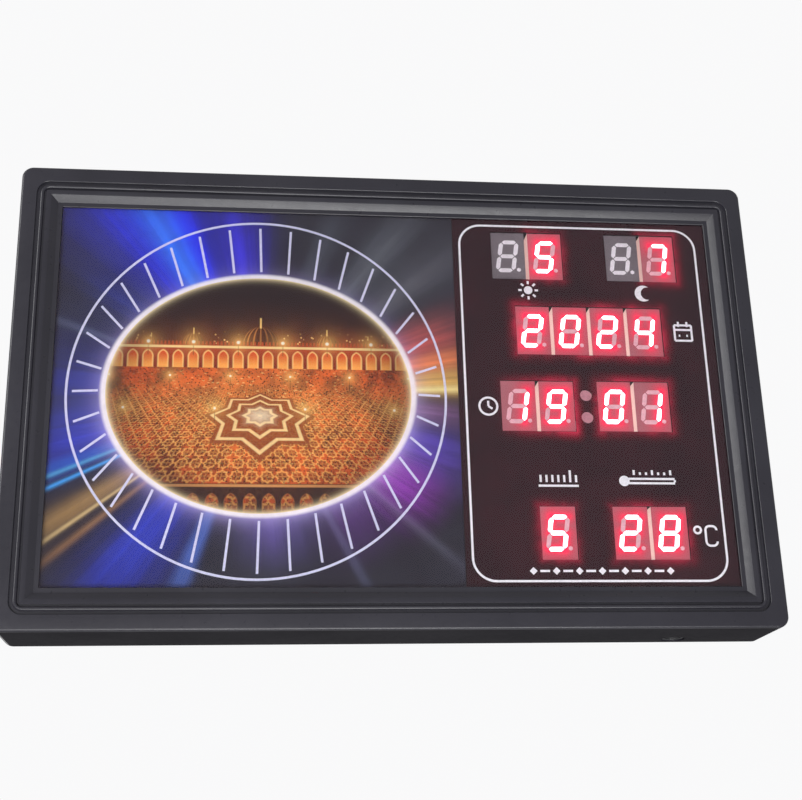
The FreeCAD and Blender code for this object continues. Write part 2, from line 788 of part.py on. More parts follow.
def jack_round(radius, sides, z_start, z_end):
    """Round piece along Z on the axis of the power inlet."""
    upright = prism(radius, sides, 0.0, z_end - z_start, 0.0, 0.0)
    upright.rotate(Vector(0, 0, 0), Vector(1, 0, 0), 90)
    upright.translate(Vector(JACK_X, BOARD_BACK + JACK_AXIS_HEIGHT, z_start))
    return upright


def dc_jack():
    """Barrel jack: a block with a round nose, a bore and its centre pin."""
    mouth = -HEIGHT / 2.0 + WALL + JACK_SETBACK
    body = board_part(JACK_WIDTH, JACK_LENGTH, JACK_HEIGHT, JACK_X, mouth + JACK_LENGTH / 2.0)
    front = mouth - JACK_NOSE
    nose = jack_round(JACK_NOSE_RADIUS, LARGE_SIDES, front, mouth)
    bore = jack_round(JACK_BORE_RADIUS, LARGE_SIDES, front, front + JACK_BORE_DEPTH)
    pin = jack_round(JACK_PIN_RADIUS, SHANK_SIDES, front + JACK_PIN_SETBACK, front + JACK_BORE_DEPTH)
    return joined([body, nose]).cut(bore).fuse(pin).removeSplitter()


def tact_switches():
    """Four switch bodies, each with a well for its plunger."""
    top = BOARD_BACK + SWITCH_HEIGHT
    bodies = []
    for _, x in button_places():
        body = slab(SWITCH_SIZE, SWITCH_SIZE, 0, BOARD_BACK, top, x, BUTTON_Z)
        bodies.append(body.cut(hole(PLUNGER_RADIUS + PLUNGER_GAP, top, top - PLUNGER_WELL, x, BUTTON_Z)))
    return Part.makeCompound(bodies)


def switch_plunger(x):
    """Plunger that the button's stem rests on."""
    top = BOARD_BACK + SWITCH_HEIGHT
    return hole(PLUNGER_RADIUS, top - PLUNGER_SUNK, top + PLUNGER_PROUD, x, BUTTON_Z)


def push_button(x):
    """Round cap with a retaining flange inside the cover and a stem to its switch."""
    flange_low = PANEL_FRONT - BUTTON_FLANGE
    stem_end = BOARD_BACK + SWITCH_HEIGHT + PLUNGER_PROUD
    top = -BUTTON_TOP
    edge = top - BUTTON_EDGE
    stations = [(BUTTON_RADIUS, flange_low), (BUTTON_RADIUS, edge), (BUTTON_RADIUS - BUTTON_EDGE, top)]
    cap = stack(LARGE_SIDES, stations, x, BUTTON_Z)
    flange = small_rod(BUTTON_FLANGE_RADIUS, flange_low, PANEL_FRONT, x, BUTTON_Z)
    stem = hole(BUTTON_STEM_RADIUS, stem_end, flange_low, x, BUTTON_Z)
    return joined([cap, flange, stem])


# ---------------------------------------------------------------- speaker
def speaker_body(stations):
    """Faceted solid on the speaker's axis."""
    return stack(LARGE_SIDES, stations, SPEAKER_X, SPEAKER_Z)


def speaker_basket():
    """Pressed basket: flat flange, conical wall and flat rear ring."""
    face = SPEAKER_FACE
    low = face - SPEAKER_FLANGE
    rear = face - BASKET_DEPTH
    sheet = BASKET_SHEET
    flange = speaker_body([(SPEAKER_RADIUS, face), (SPEAKER_RADIUS, low)])
    bowl = speaker_body([(CONE_RADIUS + sheet, low), (BASKET_REAR_RADIUS, rear)])
    bowl_end = (BASKET_REAR_RADIUS - sheet, rear + sheet)
    inside = speaker_body([(CONE_RADIUS, face), (CONE_RADIUS, low), bowl_end])
    neck = speaker_body([(CONE_NECK, face), (CONE_NECK, rear)])
    return joined([flange, bowl]).cut([inside, neck])


def speaker_cone():
    """Paper cone with its surround and raised dust cap, open toward the cover."""
    face = SPEAKER_FACE - SPEAKER_FLANGE + CONE_THICKNESS
    low = face - CONE_DEPTH
    roll = CONE_RADIUS - SURROUND_WIDTH
    cap = DUST_CAP_RADIUS
    sheet = CONE_THICKNESS
    rim = speaker_body([(CONE_RADIUS - MIN_STEP, face), (CONE_RADIUS - MIN_STEP, face - sheet)])
    bowl = speaker_body([(roll, face - sheet), (cap, low - sheet)])
    inside = speaker_body([(roll, face), (roll - sheet, face - sheet), (cap, low)])
    dust_cap = speaker_body([(cap, low), (cap / 2.0, low + DUST_CAP_RISE)])
    return joined([joined([rim, bowl]).cut(inside), dust_cap])


def speaker_magnet():
    """Ring magnet with its yoke plate, seen as one round block."""
    rear = SPEAKER_FACE - BASKET_DEPTH
    return speaker_body([(MAGNET_RADIUS, rear), (MAGNET_RADIUS, rear - MAGNET_HEIGHT)])


def speaker_screws():
    """Wide-headed screws whose rims clamp the speaker flange."""
    seat = SPEAKER_FACE - SPEAKER_FLANGE
    return Part.makeCompound([screw(SPEAKER_SCREW, x, z, seat, 1) for x, z in speaker_screw_places()])


# ---------------------------------------------------------------- rear cover
def keyhole(x):
    """Cutter of one keyhole: round entry below, narrow slot above."""
    y_range = (COVER_FRONT - OVERSHOOT, OVERSHOOT)
    entry = rod(KEYHOLE_RADIUS, *y_range, x, KEYHOLE_Z)
    half = KEYHOLE_SLOT / 2.0
    neck = box((x - half, x + half), y_range, (KEYHOLE_Z, KEYHOLE_Z + KEYHOLE_RISE))
    top = prism(half, LARGE_SIDES, *y_range, x, KEYHOLE_Z + KEYHOLE_RISE)
    return entry.fuse([neck, top])


def keyhole_guard(x):
    """Walls inside the cover that keep the wall screw off the electronics."""
    z = KEYHOLE_Z + (GUARD_ABOVE - GUARD_BELOW) / 2.0
    height = GUARD_ABOVE + GUARD_BELOW
    end = COVER_FRONT - GUARD_HEIGHT
    outer = slab(GUARD_WIDTH + 2 * GUARD_WALL, height + 2 * GUARD_WALL, 0, COVER_FRONT, end, x, z)
    return outer.cut(slab(GUARD_WIDTH, height, 0, COVER_FRONT, end, x, z))


def cover_slot(width, length, x, z):
    """Cutter of one upright slot right through the cover."""
    return slot(width, length, COVER_FRONT - OVERSHOOT, OVERSHOOT, x, z)


def grille_cutters():
    """Upright slots that together fill a circle."""
    cutters = []
    for index in range(GRILLE_SLOTS):
        offset = (index - (GRILLE_SLOTS - 1) / 2.0) * GRILLE_PITCH
        length = 2.0 * math.sqrt(GRILLE_RADIUS**2 - offset**2)
        cutters.append(cover_slot(GRILLE_SLOT, length, SPEAKER_X + offset, SPEAKER_Z))
    return cutters


def vent_cutters():
    """Row of upright vents."""
    start = VENT_X - VENT_PITCH * (VENT_COUNT - 1) / 2.0
    places = [start + index * VENT_PITCH for index in range(VENT_COUNT)]
    return [cover_slot(VENT_WIDTH, VENT_LENGTH, x, VENT_Z) for x in places]


def cover_rib():
    """Rib just inside the frame's walls, open where the power inlet passes."""
    outer = WALL + GAP / 2.0
    inner = outer + COVER_RIB
    end = COVER_FRONT - COVER_RIB_HEIGHT
    rib = inset_slab(outer, 0, COVER_FRONT, end).cut(inset_slab(inner, 0, COVER_FRONT, end))
    corner = inset_slab(outer, OUTER_RADIUS - outer, COVER_FRONT, end)
    half = JACK_WIDTH / 2.0 + JACK_CLEARANCE
    bottom = -HEIGHT / 2.0
    notch = box((JACK_X - half, JACK_X + half), (end, COVER_FRONT), (bottom, bottom + inner + OVERSHOOT))
    bosses = [small_rod(BOSS_RADIUS + GAP, BOSS_FACE, end - OVERSHOOT, x, z) for x, z in boss_places()]
    return rib.common(corner).cut([notch] + bosses)


def speaker_ring():
    """Low ring that centres the speaker, with the three screw bosses."""
    inner = SPEAKER_RADIUS + SPEAKER_RING_GAP
    outer = inner + SPEAKER_RING_WALL
    end = COVER_FRONT - SPEAKER_RING_HEIGHT
    clamp = SPEAKER_FACE - SPEAKER_FLANGE
    wall = speaker_body([(outer, COVER_FRONT), (outer, end)])
    bosses = [small_rod(SPEAKER_SCREW[0], COVER_FRONT, clamp, x, z) for x, z in speaker_screw_places()]
    inside = speaker_body([(inner, COVER_FRONT), (inner, end)])
    heads = [small_rod(SPEAKER_SCREW[0] + GAP, clamp, end, x, z) for x, z in speaker_screw_places()]
    return joined([wall] + bosses).cut([inside] + heads)


def stiffeners():
    """Ribs across the inside of the cover."""
    levels = (COVER_FRONT - STIFFENER_HEIGHT, COVER_FRONT)
    half = STIFFENER / 2.0
    inside_x = WIDTH / 2.0 - STIFFENER_INSET
    inside_z = HEIGHT / 2.0 - STIFFENER_INSET
    ribs = [box((x - half, x + half), levels, (-inside_z, inside_z)) for x in STIFFENER_X]
    across = (STIFFENER_X[0], STIFFENER_X[-1])
    ribs += [box(across, levels, (z - half, z + half)) for z in STIFFENER_Z]
    low, high = BOARD_STIFFENER_Z - half, BOARD_STIFFENER_Z + half
    ribs.append(box((STIFFENER_X[-1], inside_x), levels, (low, high)))
    return ribs


def cover_boss(x, z):
    """Boss on the cover that meets the frame's boss."""
    return small_rod(COVER_BOSS_RADIUS, COVER_FRONT, BOSS_FACE, x, z)


def cover_boss_cutter(x, z):
    """Counterbore for the screw head and the hole for its shank."""
    well = small_rod(COVER_HEAD_RADIUS, 0.0, -COVER_HEAD_DEPTH, x, z)
    return well.fuse(hole(COVER_HOLE_RADIUS, 0.0, BOSS_FACE, x, z))


def board_post(x, z):
    """Post that carries the main board."""
    return small_rod(POST_RADIUS, COVER_FRONT, BOARD_BACK, x, z)


def button_recess():
    """Added wall behind the recess of the push buttons."""
    width = PANEL_WIDTH + 2 * WALL
    height = PANEL_HEIGHT + 2 * WALL
    return slab(width, height, 0, COVER_FRONT, PANEL_FRONT, BUTTON_CENTRE_X, BUTTON_Z)


def button_cutters():
    """Recess of the push buttons and their four holes."""
    recess = slab(PANEL_WIDTH, PANEL_HEIGHT, 0, 0.0, -PANEL_DEPTH, BUTTON_CENTRE_X, BUTTON_Z)
    radius = BUTTON_RADIUS + BUTTON_GAP
    holes = [prism(radius, LARGE_SIDES, 0.0, PANEL_FRONT, x, BUTTON_Z) for _, x in button_places()]
    return [recess] + holes


def door_cutters():
    """Recess, side grooves and bay opening of the battery door."""
    bottom = -HEIGHT / 2.0 - OVERSHOOT
    half = DOOR_WIDTH / 2.0
    groove = half + DOOR_TONGUE
    recess = box((DOOR_X - half, DOOR_X + half), (-DOOR_THICKNESS, 0.0), (bottom, DOOR_TOP))
    rails = box(
        (DOOR_X - groove, DOOR_X + groove),
        (-DOOR_THICKNESS, -DOOR_SKIN),
        (bottom, DOOR_TOP + DOOR_HOOK + DOOR_PLAY),
    )
    bay = slab(BAY_SIZE, BAY_SIZE, 0, 0.0, COVER_FRONT - OVERSHOOT, DOOR_X, BAY_Z)
    return [recess, rails, bay]


def pilot_holes():
    """Pilot holes of the board's and the speaker's screws."""
    holes = []
    for x, z in board_screw_places():
        holes.append(hole(BOARD_SCREW[2], BOARD_BACK, COVER_FRONT - OVERSHOOT, x, z))
    for x, z in speaker_screw_places():
        holes.append(hole(SPEAKER_SCREW[2], SPEAKER_FACE - SPEAKER_FLANGE, -SPEAKER_PILOT_FLOOR, x, z))
    return holes


def rear_cover():
    """Moulded rear cover in one piece."""
    plate = inset_slab(COVER_INSET, OUTER_RADIUS - COVER_INSET, COVER_FRONT, 0.0)
    rim = [edge for edge in plate.Edges if edge.BoundBox.YMin > -NEAR]
    plate = plate.makeChamfer(COVER_EDGE, rim)
    added = [cover_rib(), speaker_ring(), button_recess()]
    added += [keyhole_guard(x) for x in (-KEYHOLE_X, KEYHOLE_X)]
    added += [cover_boss(x, z) for x, z in boss_places()]
    added += [board_post(x, z) for x, z in board_screw_places()]
    added += stiffeners()
    cuts = [keyhole(x) for x in (-KEYHOLE_X, KEYHOLE_X)]
    cuts += [cover_boss_cutter(x, z) for x, z in boss_places()]
    cuts += pilot_holes() + vent_cutters() + button_cutters() + door_cutters() + grille_cutters()
    return plate.fuse(added).cut(cuts).removeSplitter()


def battery_door():
    """Sliding door with side tongues, a top hook, grip grooves and an arrow."""
    half = DOOR_WIDTH / 2.0 - DOOR_PLAY
    tongue = half + DOOR_TONGUE
    low_y = -DOOR_THICKNESS
    bottom = -HEIGHT / 2.0 + COVER_INSET
    top = DOOR_TOP - DOOR_PLAY
    leaf = box((DOOR_X - half, DOOR_X + half), (low_y, 0.0), (bottom, top))
    rails = box(
        (DOOR_X - tongue, DOOR_X + tongue),
        (low_y, low_y + DOOR_TONGUE_THICKNESS),
        (bottom, top + DOOR_HOOK),
    )
    grips = []
    for index in range(DOOR_GRIPS):
        grip_z = bottom + DOOR_GRIP_START + index * DOOR_GRIP_PITCH
        across = (DOOR_X - DOOR_GRIP_LENGTH / 2.0, DOOR_X + DOOR_GRIP_LENGTH / 2.0)
        grips.append(box(across, (-DOOR_GRIP_DEPTH, 0.0), (grip_z, grip_z + DOOR_GRIP_WIDTH)))
    tip = bottom + DOOR_ARROW_START
    corners = [
        Vector(DOOR_X, 0, tip),
        Vector(DOOR_X + DOOR_ARROW, 0, tip + DOOR_ARROW),
        Vector(DOOR_X - DOOR_ARROW, 0, tip + DOOR_ARROW),
    ]
    arrow = Part.Face(Part.makePolygon(corners + corners[:1])).extrude(Vector(0, -DOOR_GRIP_DEPTH, 0))
    return leaf.fuse(rails).cut(grips + [arrow]).removeSplitter()


def cover_screws():
    """Screws that hold the cover to the frame."""
    return Part.makeCompound([screw(COVER_SCREW, x, z, -COVER_HEAD_DEPTH, -1) for x, z in boss_places()])


def board_screws():
    """Screws that hold the board to the cover's posts."""
    return Part.makeCompound([screw(BOARD_SCREW, x, z, BOARD_FRONT, 1) for x, z in board_screw_places()])


# ---------------------------------------------------------------- assembly
def build_nodes():
    """Every node's name with its shape."""
    nodes = {
        "front_frame": front_frame(),
        "front_glass": front_glass(),
        "picture_print": picture_print(),
        "window_film": window_film(),
        "glass_clips": glass_clips(),
        "main_board": main_board(),
        "board_screws": board_screws(),
    }
    nodes.update(digit_nodes())
    nodes["colon_leds"] = colon_leds()
    nodes["controller_chip"] = controller_chip()
    nodes["driver_chips"] = driver_chips()
    nodes["amplifier_chip"] = amplifier_chip()
    nodes["crystal_can"] = crystal_can()
    nodes["filter_capacitors"] = filter_capacitors()
    nodes["voltage_regulator"] = voltage_regulator()
    nodes["temperature_sensor"] = temperature_sensor()
    nodes["coin_cell_holder"] = coin_cell_holder()
    nodes["coin_cell"] = coin_cell()
    nodes["dc_jack"] = dc_jack()
    nodes["tact_switches"] = tact_switches()
    for name, x in button_places():
        nodes[name] = push_button(x)
        nodes[name.replace("button", "plunger")] = switch_plunger(x)
    nodes["speaker_basket"] = speaker_basket()
    nodes["speaker_cone"] = speaker_cone()
    nodes["speaker_magnet"] = speaker_magnet()
    nodes["speaker_screws"] = speaker_screws()
    nodes["rear_cover"] = rear_cover()
    nodes["cover_screws"] = cover_screws()
    nodes["battery_door"] = battery_door()
    return nodes


def main():
    """Write one STEP file per node."""
    os.makedirs("parts", exist_ok=True)
    nodes = build_nodes()
    for name, shape in nodes.items():
        if not shape.isValid():
            raise ValueError(f"{name} is not a valid shape")
        shape.exportStep(f"parts/{name}.step")
        print(f"{name}: {len(shape.Solids)} solid(s), {shape.Volume / 1000.0:.2f} cm3")


if __name__ == "__main__":
    main()
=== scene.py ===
"""Dresses the wall azan clock: mouldings, glass, dial print, LED calendar, speaker and rear cover."""

import logging
import math
from collections.abc import Iterable
from dataclasses import dataclass
from enum import Enum
from functools import reduce
from typing import Union

import bmesh
import bpy
from mathutils import Euler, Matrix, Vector


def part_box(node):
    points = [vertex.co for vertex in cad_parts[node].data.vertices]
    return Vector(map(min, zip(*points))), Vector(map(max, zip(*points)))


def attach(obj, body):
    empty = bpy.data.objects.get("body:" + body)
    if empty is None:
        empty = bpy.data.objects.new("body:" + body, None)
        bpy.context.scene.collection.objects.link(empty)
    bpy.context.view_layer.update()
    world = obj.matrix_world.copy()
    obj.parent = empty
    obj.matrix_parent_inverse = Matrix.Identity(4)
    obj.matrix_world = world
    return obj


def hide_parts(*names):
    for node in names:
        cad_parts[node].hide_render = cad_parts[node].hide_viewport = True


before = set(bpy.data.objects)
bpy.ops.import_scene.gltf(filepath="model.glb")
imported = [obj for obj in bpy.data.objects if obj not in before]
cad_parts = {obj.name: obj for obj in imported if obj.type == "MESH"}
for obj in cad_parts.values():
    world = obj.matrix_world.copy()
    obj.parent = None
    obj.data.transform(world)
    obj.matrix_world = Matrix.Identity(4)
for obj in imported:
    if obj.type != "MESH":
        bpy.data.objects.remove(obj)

log = logging.getLogger("clock")

Point = tuple[float, float]
Stroke = tuple[Point, Point]
Place = tuple[float, float, float]
Colour = tuple[float, float, float]
Face = tuple[int, ...]
Extent = tuple[float, float, float, float]
Socket = bpy.types.NodeSocket
Value = Union["Reading", Socket, Colour, float]

MM = 0.001
ROOT = "clock"
BUTTONS = ("mode", "set", "up", "down")

# Planes of the clock, millimetres from the wall, from the front of the frame to the rear cover.
FRONT_Y = -30.0
GLASS_FRONT_Y = -27.3
GLASS_BACK_Y = -25.3
SHEET_FRONT_Y = -25.24
SHEET_BACK_Y = -24.92
DIGIT_Y = -24.0
BOARD_FRONT_Y = -16.0
COVER_FRONT_Y = -2.4

# Outer size of the frame, and the radius of a corner that is all but square.
WIDTH = 265.0
HEIGHT = 167.0
SQUARE_CORNER = 0.02

# Edges over this angle, in degrees, are shaded sharp.
SHARP_ANGLE = 35.0


def tone(red: float, green: float, blue: float) -> Colour:
    """A paint-card colour (0 to 255) as the linear colour that shaders use.

    Args:
        red: Red on the card.
        green: Green on the card.
        blue: Blue on the card.

    Returns:
        The same colour in linear light.
    """

    def linear(value: float) -> float:
        """One channel in linear light."""
        share = value / 255.0
        return share / 12.92 if share <= 0.04045 else ((share + 0.055) / 1.055) ** 2.4

    return linear(red), linear(green), linear(blue)


def shaded(colour: Colour, share: float) -> Colour:
    """A colour made darker: that share of each of its channels."""
    return tuple(channel * share for channel in colour)


# ------------------------------------------------------------------------------------ mesh work
def linked(name: str, data: bpy.types.ID) -> bpy.types.Object:
    """Makes an object of a mesh, light or camera and puts it in the scene.

    Args:
        name: Name of the object.
        data: Its mesh, light or camera.

    Returns:
        The new object.
    """
    made = bpy.data.objects.new(name, data)
    bpy.context.scene.collection.objects.link(made)
    return made


def shape(name: str, points: list[Place], faces: list[Face]) -> bpy.types.Object:
    """Makes an object from points in millimetres, with its faces turned outward.

    Args:
        name: Name of the object and its mesh.
        points: Corners in the row frame, millimetres.
        faces: Corner numbers of each face.

    Returns:
        The new object.
    """
    mesh = bpy.data.meshes.new(name)
    mesh.from_pydata([(x * MM, y * MM, z * MM) for x, y, z in points], [], faces)
    work = bmesh.new()
    work.from_mesh(mesh)
    bmesh.ops.recalc_face_normals(work, faces=work.faces)
    work.to_mesh(mesh)
    work.free()
    return linked(name, mesh)


def piece(
    name: str,
    points: list[Place],
    faces: list[Face],
    finish: bpy.types.Material,
    body: str = ROOT,
    sharp: float = SHARP_ANGLE,
) -> bpy.types.Object:
    """Makes one piece from points in millimetres and lets it ride on a body.

    Args:
        name: Name of the piece.
        points: Corners in the row frame, millimetres.
        faces: Corner numbers of each face.
        finish: Material of the piece.
        body: CAD body that it moves with.
        sharp: Edges over this angle, in degrees, are shaded sharp.

    Returns:
        The new object.
    """
    made = shape(name, points, faces)
    made.data.shade_smooth()
    made.data.set_sharp_from_angle(angle=math.radians(sharp))
    made.data.materials.append(finish)
    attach(made, body)
    log.info("%s: %d faces, rides on %s", name, len(faces), body)
    return made


def rounded_outline(
    width: float, height: float, radius: float, steps: int, x: float = 0.0, z: float = 0.0
) -> list[Point]:
    """Points round a rectangle with rounded corners, anticlockwise from the lower right.

    Args:
        width: Size along X.
        height: Size along Z.
        radius: Corner radius.
        steps: Steps in each corner.
        x: Centre along X.
        z: Centre along Z.

    Returns:
        The (x, z) points, steps + 1 for each corner.
    """
    points = []
    for turn, (sx, sz) in enumerate(((1, -1), (1, 1), (-1, 1), (-1, -1))):
        start = math.radians(90.0 * turn - 90.0)
        for step in range(steps + 1):
            angle = start + math.radians(90.0) * step / steps
            px = sx * (width / 2.0 - radius) + radius * math.cos(angle)
            pz = sz * (height / 2.0 - radius) + radius * math.sin(angle)
            points.append((x + px, z + pz))
    return points


def circle(radius: float, steps: int, x: float = 0.0, z: float = 0.0) -> list[Point]:
    """Points round a circle."""
    turns = [math.tau * step / steps for step in range(steps)]
    return [(x + radius * math.cos(turn), z + radius * math.sin(turn)) for turn in turns]


def loops_to_faces(count: int, loops: int, closed: bool = False) -> list[Face]:
    """Quads between equal rings of points.

    Args:
        count: Points in each ring.
        loops: Number of rings.
        closed: True joins the last ring to the first.

    Returns:
        The faces.
    """
    faces = []
    for loop in range(loops if closed else loops - 1):
        near, far = loop * count, (loop + 1) % loops * count
        for index in range(count):
            after = (index + 1) % count
            faces.append((near + index, near + after, far + after, far + index))
    return faces


def solid_faces(count: int, loops: int = 2) -> list[Face]:
    """Faces of a closed solid made of equal rings of points, from one end to the other.

    Args:
        count: Points in each ring.
        loops: Number of rings.

    Returns:
        The quads between the rings, then the two ends.
    """
    last = (loops - 1) * count
    ends = [tuple(range(count)), tuple(last + index for index in reversed(range(count)))]
    return loops_to_faces(count, loops) + ends


def shifted(faces: list[Face], base: int) -> list[Face]:
    """The same faces over points that start at another number."""
    return [tuple(base + corner for corner in face) for face in faces]


def plate(
    name: str, outline: list[Point], y_front: float, y_back: float, finish: bpy.types.Material
) -> bpy.types.Object:
    """A flat plate of any outline between two depths.

    Args:
        name: Name of the piece.
        outline: Its (x, z) points in order.
        y_front: Front plane.
        y_back: Rear plane.
        finish: Material.

    Returns:
        The new object.
    """
    points = [(x, y, z) for y in (y_front, y_back) for x, z in outline]
    return piece(name, points, solid_faces(len(outline)), finish)


def band(
    name: str,
    outer: list[Point],
    inner: list[Point],
    y_front: float,
    y_back: float,
    finish: bpy.types.Material,
) -> bpy.types.Object:
    """A flat closed band between two outlines with equal numbers of points.

    Args:
        name: Name of the piece.
        outer: Outer (x, z) points.
        inner: Inner (x, z) points.
        y_front: Front plane.
        y_back: Rear plane.
        finish: Material.

    Returns:
        The new object.
    """
    rings = ((outer, y_front), (inner, y_front), (inner, y_back), (outer, y_back))
    points = [(x, y, z) for ring, y in rings for x, z in ring]
    return piece(name, points, loops_to_faces(len(outer), 4, closed=True), finish)


def strokes(
    name: str,
    lines: list[Stroke],
    width: float,
    y_front: float,
    y_back: float,
    finish: bpy.types.Material,
) -> bpy.types.Object:
    """Straight printed strokes of one width, as one piece.

    Args:
        name: Name of the piece.
        lines: Start and end of each stroke.
        width: Width of the strokes.
        y_front: Front plane.
        y_back: Rear plane.
        finish: Material.

    Returns:
        The new object.
    """
    points: list[Place] = []
    faces: list[Face] = []
    for (x0, z0), (x1, z1) in lines:
        length = math.hypot(x1 - x0, z1 - z0)
        nx, nz = -(z1 - z0) / length * width / 2.0, (x1 - x0) / length * width / 2.0
        corners = [(x0 + nx, z0 + nz), (x0 - nx, z0 - nz), (x1 - nx, z1 - nz), (x1 + nx, z1 + nz)]
        faces += shifted(solid_faces(len(corners)), len(points))
        points += [(x, y, z) for y in (y_front, y_back) for x, z in corners]
    return piece(name, points, faces, finish)


def cut(made: bpy.types.Object, points: list[Place], faces: list[Face]) -> None:
    """Cuts a shape out of a piece for good.

    Args:
        made: Piece that is cut.
        points: Corners of the cutter, millimetres.
        faces: Faces of the cutter.
    """
    cutter = shape("cutter", points, faces)
    modifier = made.modifiers.new("cut", "BOOLEAN")
    modifier.object = cutter
    modifier.solver = "EXACT"
    bpy.context.view_layer.update()
    result = bpy.data.meshes.new_from_object(made.evaluated_get(bpy.context.evaluated_depsgraph_get()))
    result.set_sharp_from_angle(angle=math.radians(SHARP_ANGLE))
    made.modifiers.clear()
    made.data = result
    bpy.data.objects.remove(cutter)


def turned(
    name: str,
    profile: list[Point],
    places: list[Point],
    finish: bpy.types.Material,
    body: str = ROOT,
    steps: int = 40,
) -> bpy.types.Object:
    """Turned pieces about lines along Y, from one profile.

    Args:
        name: Name of the piece.
        profile: (radius, y) points; the ends may lie on the axis.
        places: (x, z) of each axis.
        finish: Material.
        body: CAD body that it moves with.
        steps: Steps round the axis.

    Returns:
        The new object.
    """
    least = 0.001
    points: list[Place] = []
    faces: list[Face] = []
    for place in places:
        faces += shifted(solid_faces(steps, len(profile)), len(points))
        for radius, y in profile:
            points += [(x, y, z) for x, z in circle(max(radius, least), steps, *place)]
    return piece(name, points, faces, finish, body)


def arc(radius: float, centre: Point, start: float, end: float, steps: int) -> list[Point]:
    """Points along a circular arc.

    Args:
        radius: Radius of the arc.
        centre: Its centre.
        start: First angle in degrees.
        end: Last angle in degrees.
        steps: Steps along it.

    Returns:
        The points, steps + 1 of them.
    """
    angles = [math.radians(start + (end - start) * step / steps) for step in range(steps + 1)]
    return [(centre[0] + radius * math.cos(angle), centre[1] + radius * math.sin(angle)) for angle in angles]


def dress(node: str, finish: bpy.types.Material, edge: float = 0.0) -> None:
    """Gives a CAD node its finish and, where asked, softly broken edges.

    Args:
        node: Name of the CAD node.
        finish: Material.
        edge: Width of the broken edges in millimetres, or 0 for none.
    """
    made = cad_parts[node]
    made.data.materials.clear()
    made.data.materials.append(finish)
    if edge > 0.0:
        weld = made.modifiers.new("joined_edges", "WELD")
        weld.merge_threshold = 0.002 * MM
        bevel = made.modifiers.new("broken_edges", "BEVEL")
        bevel.width = edge * MM
        bevel.segments = 2
        bevel.limit_method = "ANGLE"
        bevel.angle_limit = math.radians(32.0)
        bevel.harden_normals = True
    log.info("%s: dressed with %s", node, finish.name)


# ------------------------------------------------------------------------------------ node trees
class Reading:
    """A number that varies over a surface, with plain arithmetic."""

    def __init__(self, recipe: "Recipe", socket: Socket) -> None:
        """Wraps the socket that gives the number."""
        self.recipe = recipe
        self.socket = socket

    def step(self, operation: str, other: Value = 0.0) -> "Reading":
        """One step of arithmetic with another reading or number."""
        return self.recipe.sum(operation, self, other)

    def __add__(self, other: Value) -> "Reading":
        """This plus another."""
        return self.step("ADD", other)

    def __sub__(self, other: Value) -> "Reading":
        """This less another."""
        return self.step("SUBTRACT", other)

    def __rsub__(self, other: Value) -> "Reading":
        """Another less this."""
        return self.recipe.sum("SUBTRACT", other, self)

    def __mul__(self, other: Value) -> "Reading":
        """This times another."""
        return self.step("MULTIPLY", other)

    def __truediv__(self, other: Value) -> "Reading":
        """This over another."""
        return self.step("DIVIDE", other)

    def size(self) -> "Reading":
        """Its value without a sign."""
        return self.step("ABSOLUTE")

    def least(self, other: Value) -> "Reading":
        """The smaller of the two."""
        return self.step("MINIMUM", other)

    def most(self, other: Value) -> "Reading":
        """The larger of the two."""
        return self.step("MAXIMUM", other)

    def repeat(self, pitch: float) -> "Reading":
        """Distance from the middle of the cell it falls in, in cells of one pitch."""
        return ((self / pitch).step("FRACT") - 0.5) * pitch

    def fade(self, low: Value, high: Value, start: Value = 0.0, end: Value = 1.0) -> "Reading":
        """Smooth change from one number to another as this grows.

        Args:
            low: Value of this at which the change starts.
            high: Value of this at which it ends.
            start: What it gives below low.
            end: What it gives above high.

        Returns:
            The new reading.
        """
        made = self.recipe.node("ShaderNodeMapRange", interpolation_type="SMOOTHSTEP")
        for socket, value in zip(made.inputs, (self, low, high, start, end)):
            self.recipe.feed(socket, value)
        return Reading(self.recipe, made.outputs[0])

    def falloff(self, reach: float) -> "Reading":
        """Falls from 1 to nothing as this grows, over about that reach."""
        return self.recipe.sum("EXPONENT", self * (-1.0 / reach))

    def span(self, other: "Reading") -> "Reading":
        """Length of this run and another at a right angle to it."""
        return (self * self + other * other).step("SQRT")


def closest(distances: Iterable[Reading]) -> Reading:
    """The smallest of several distances."""
    return reduce(Reading.least, distances)


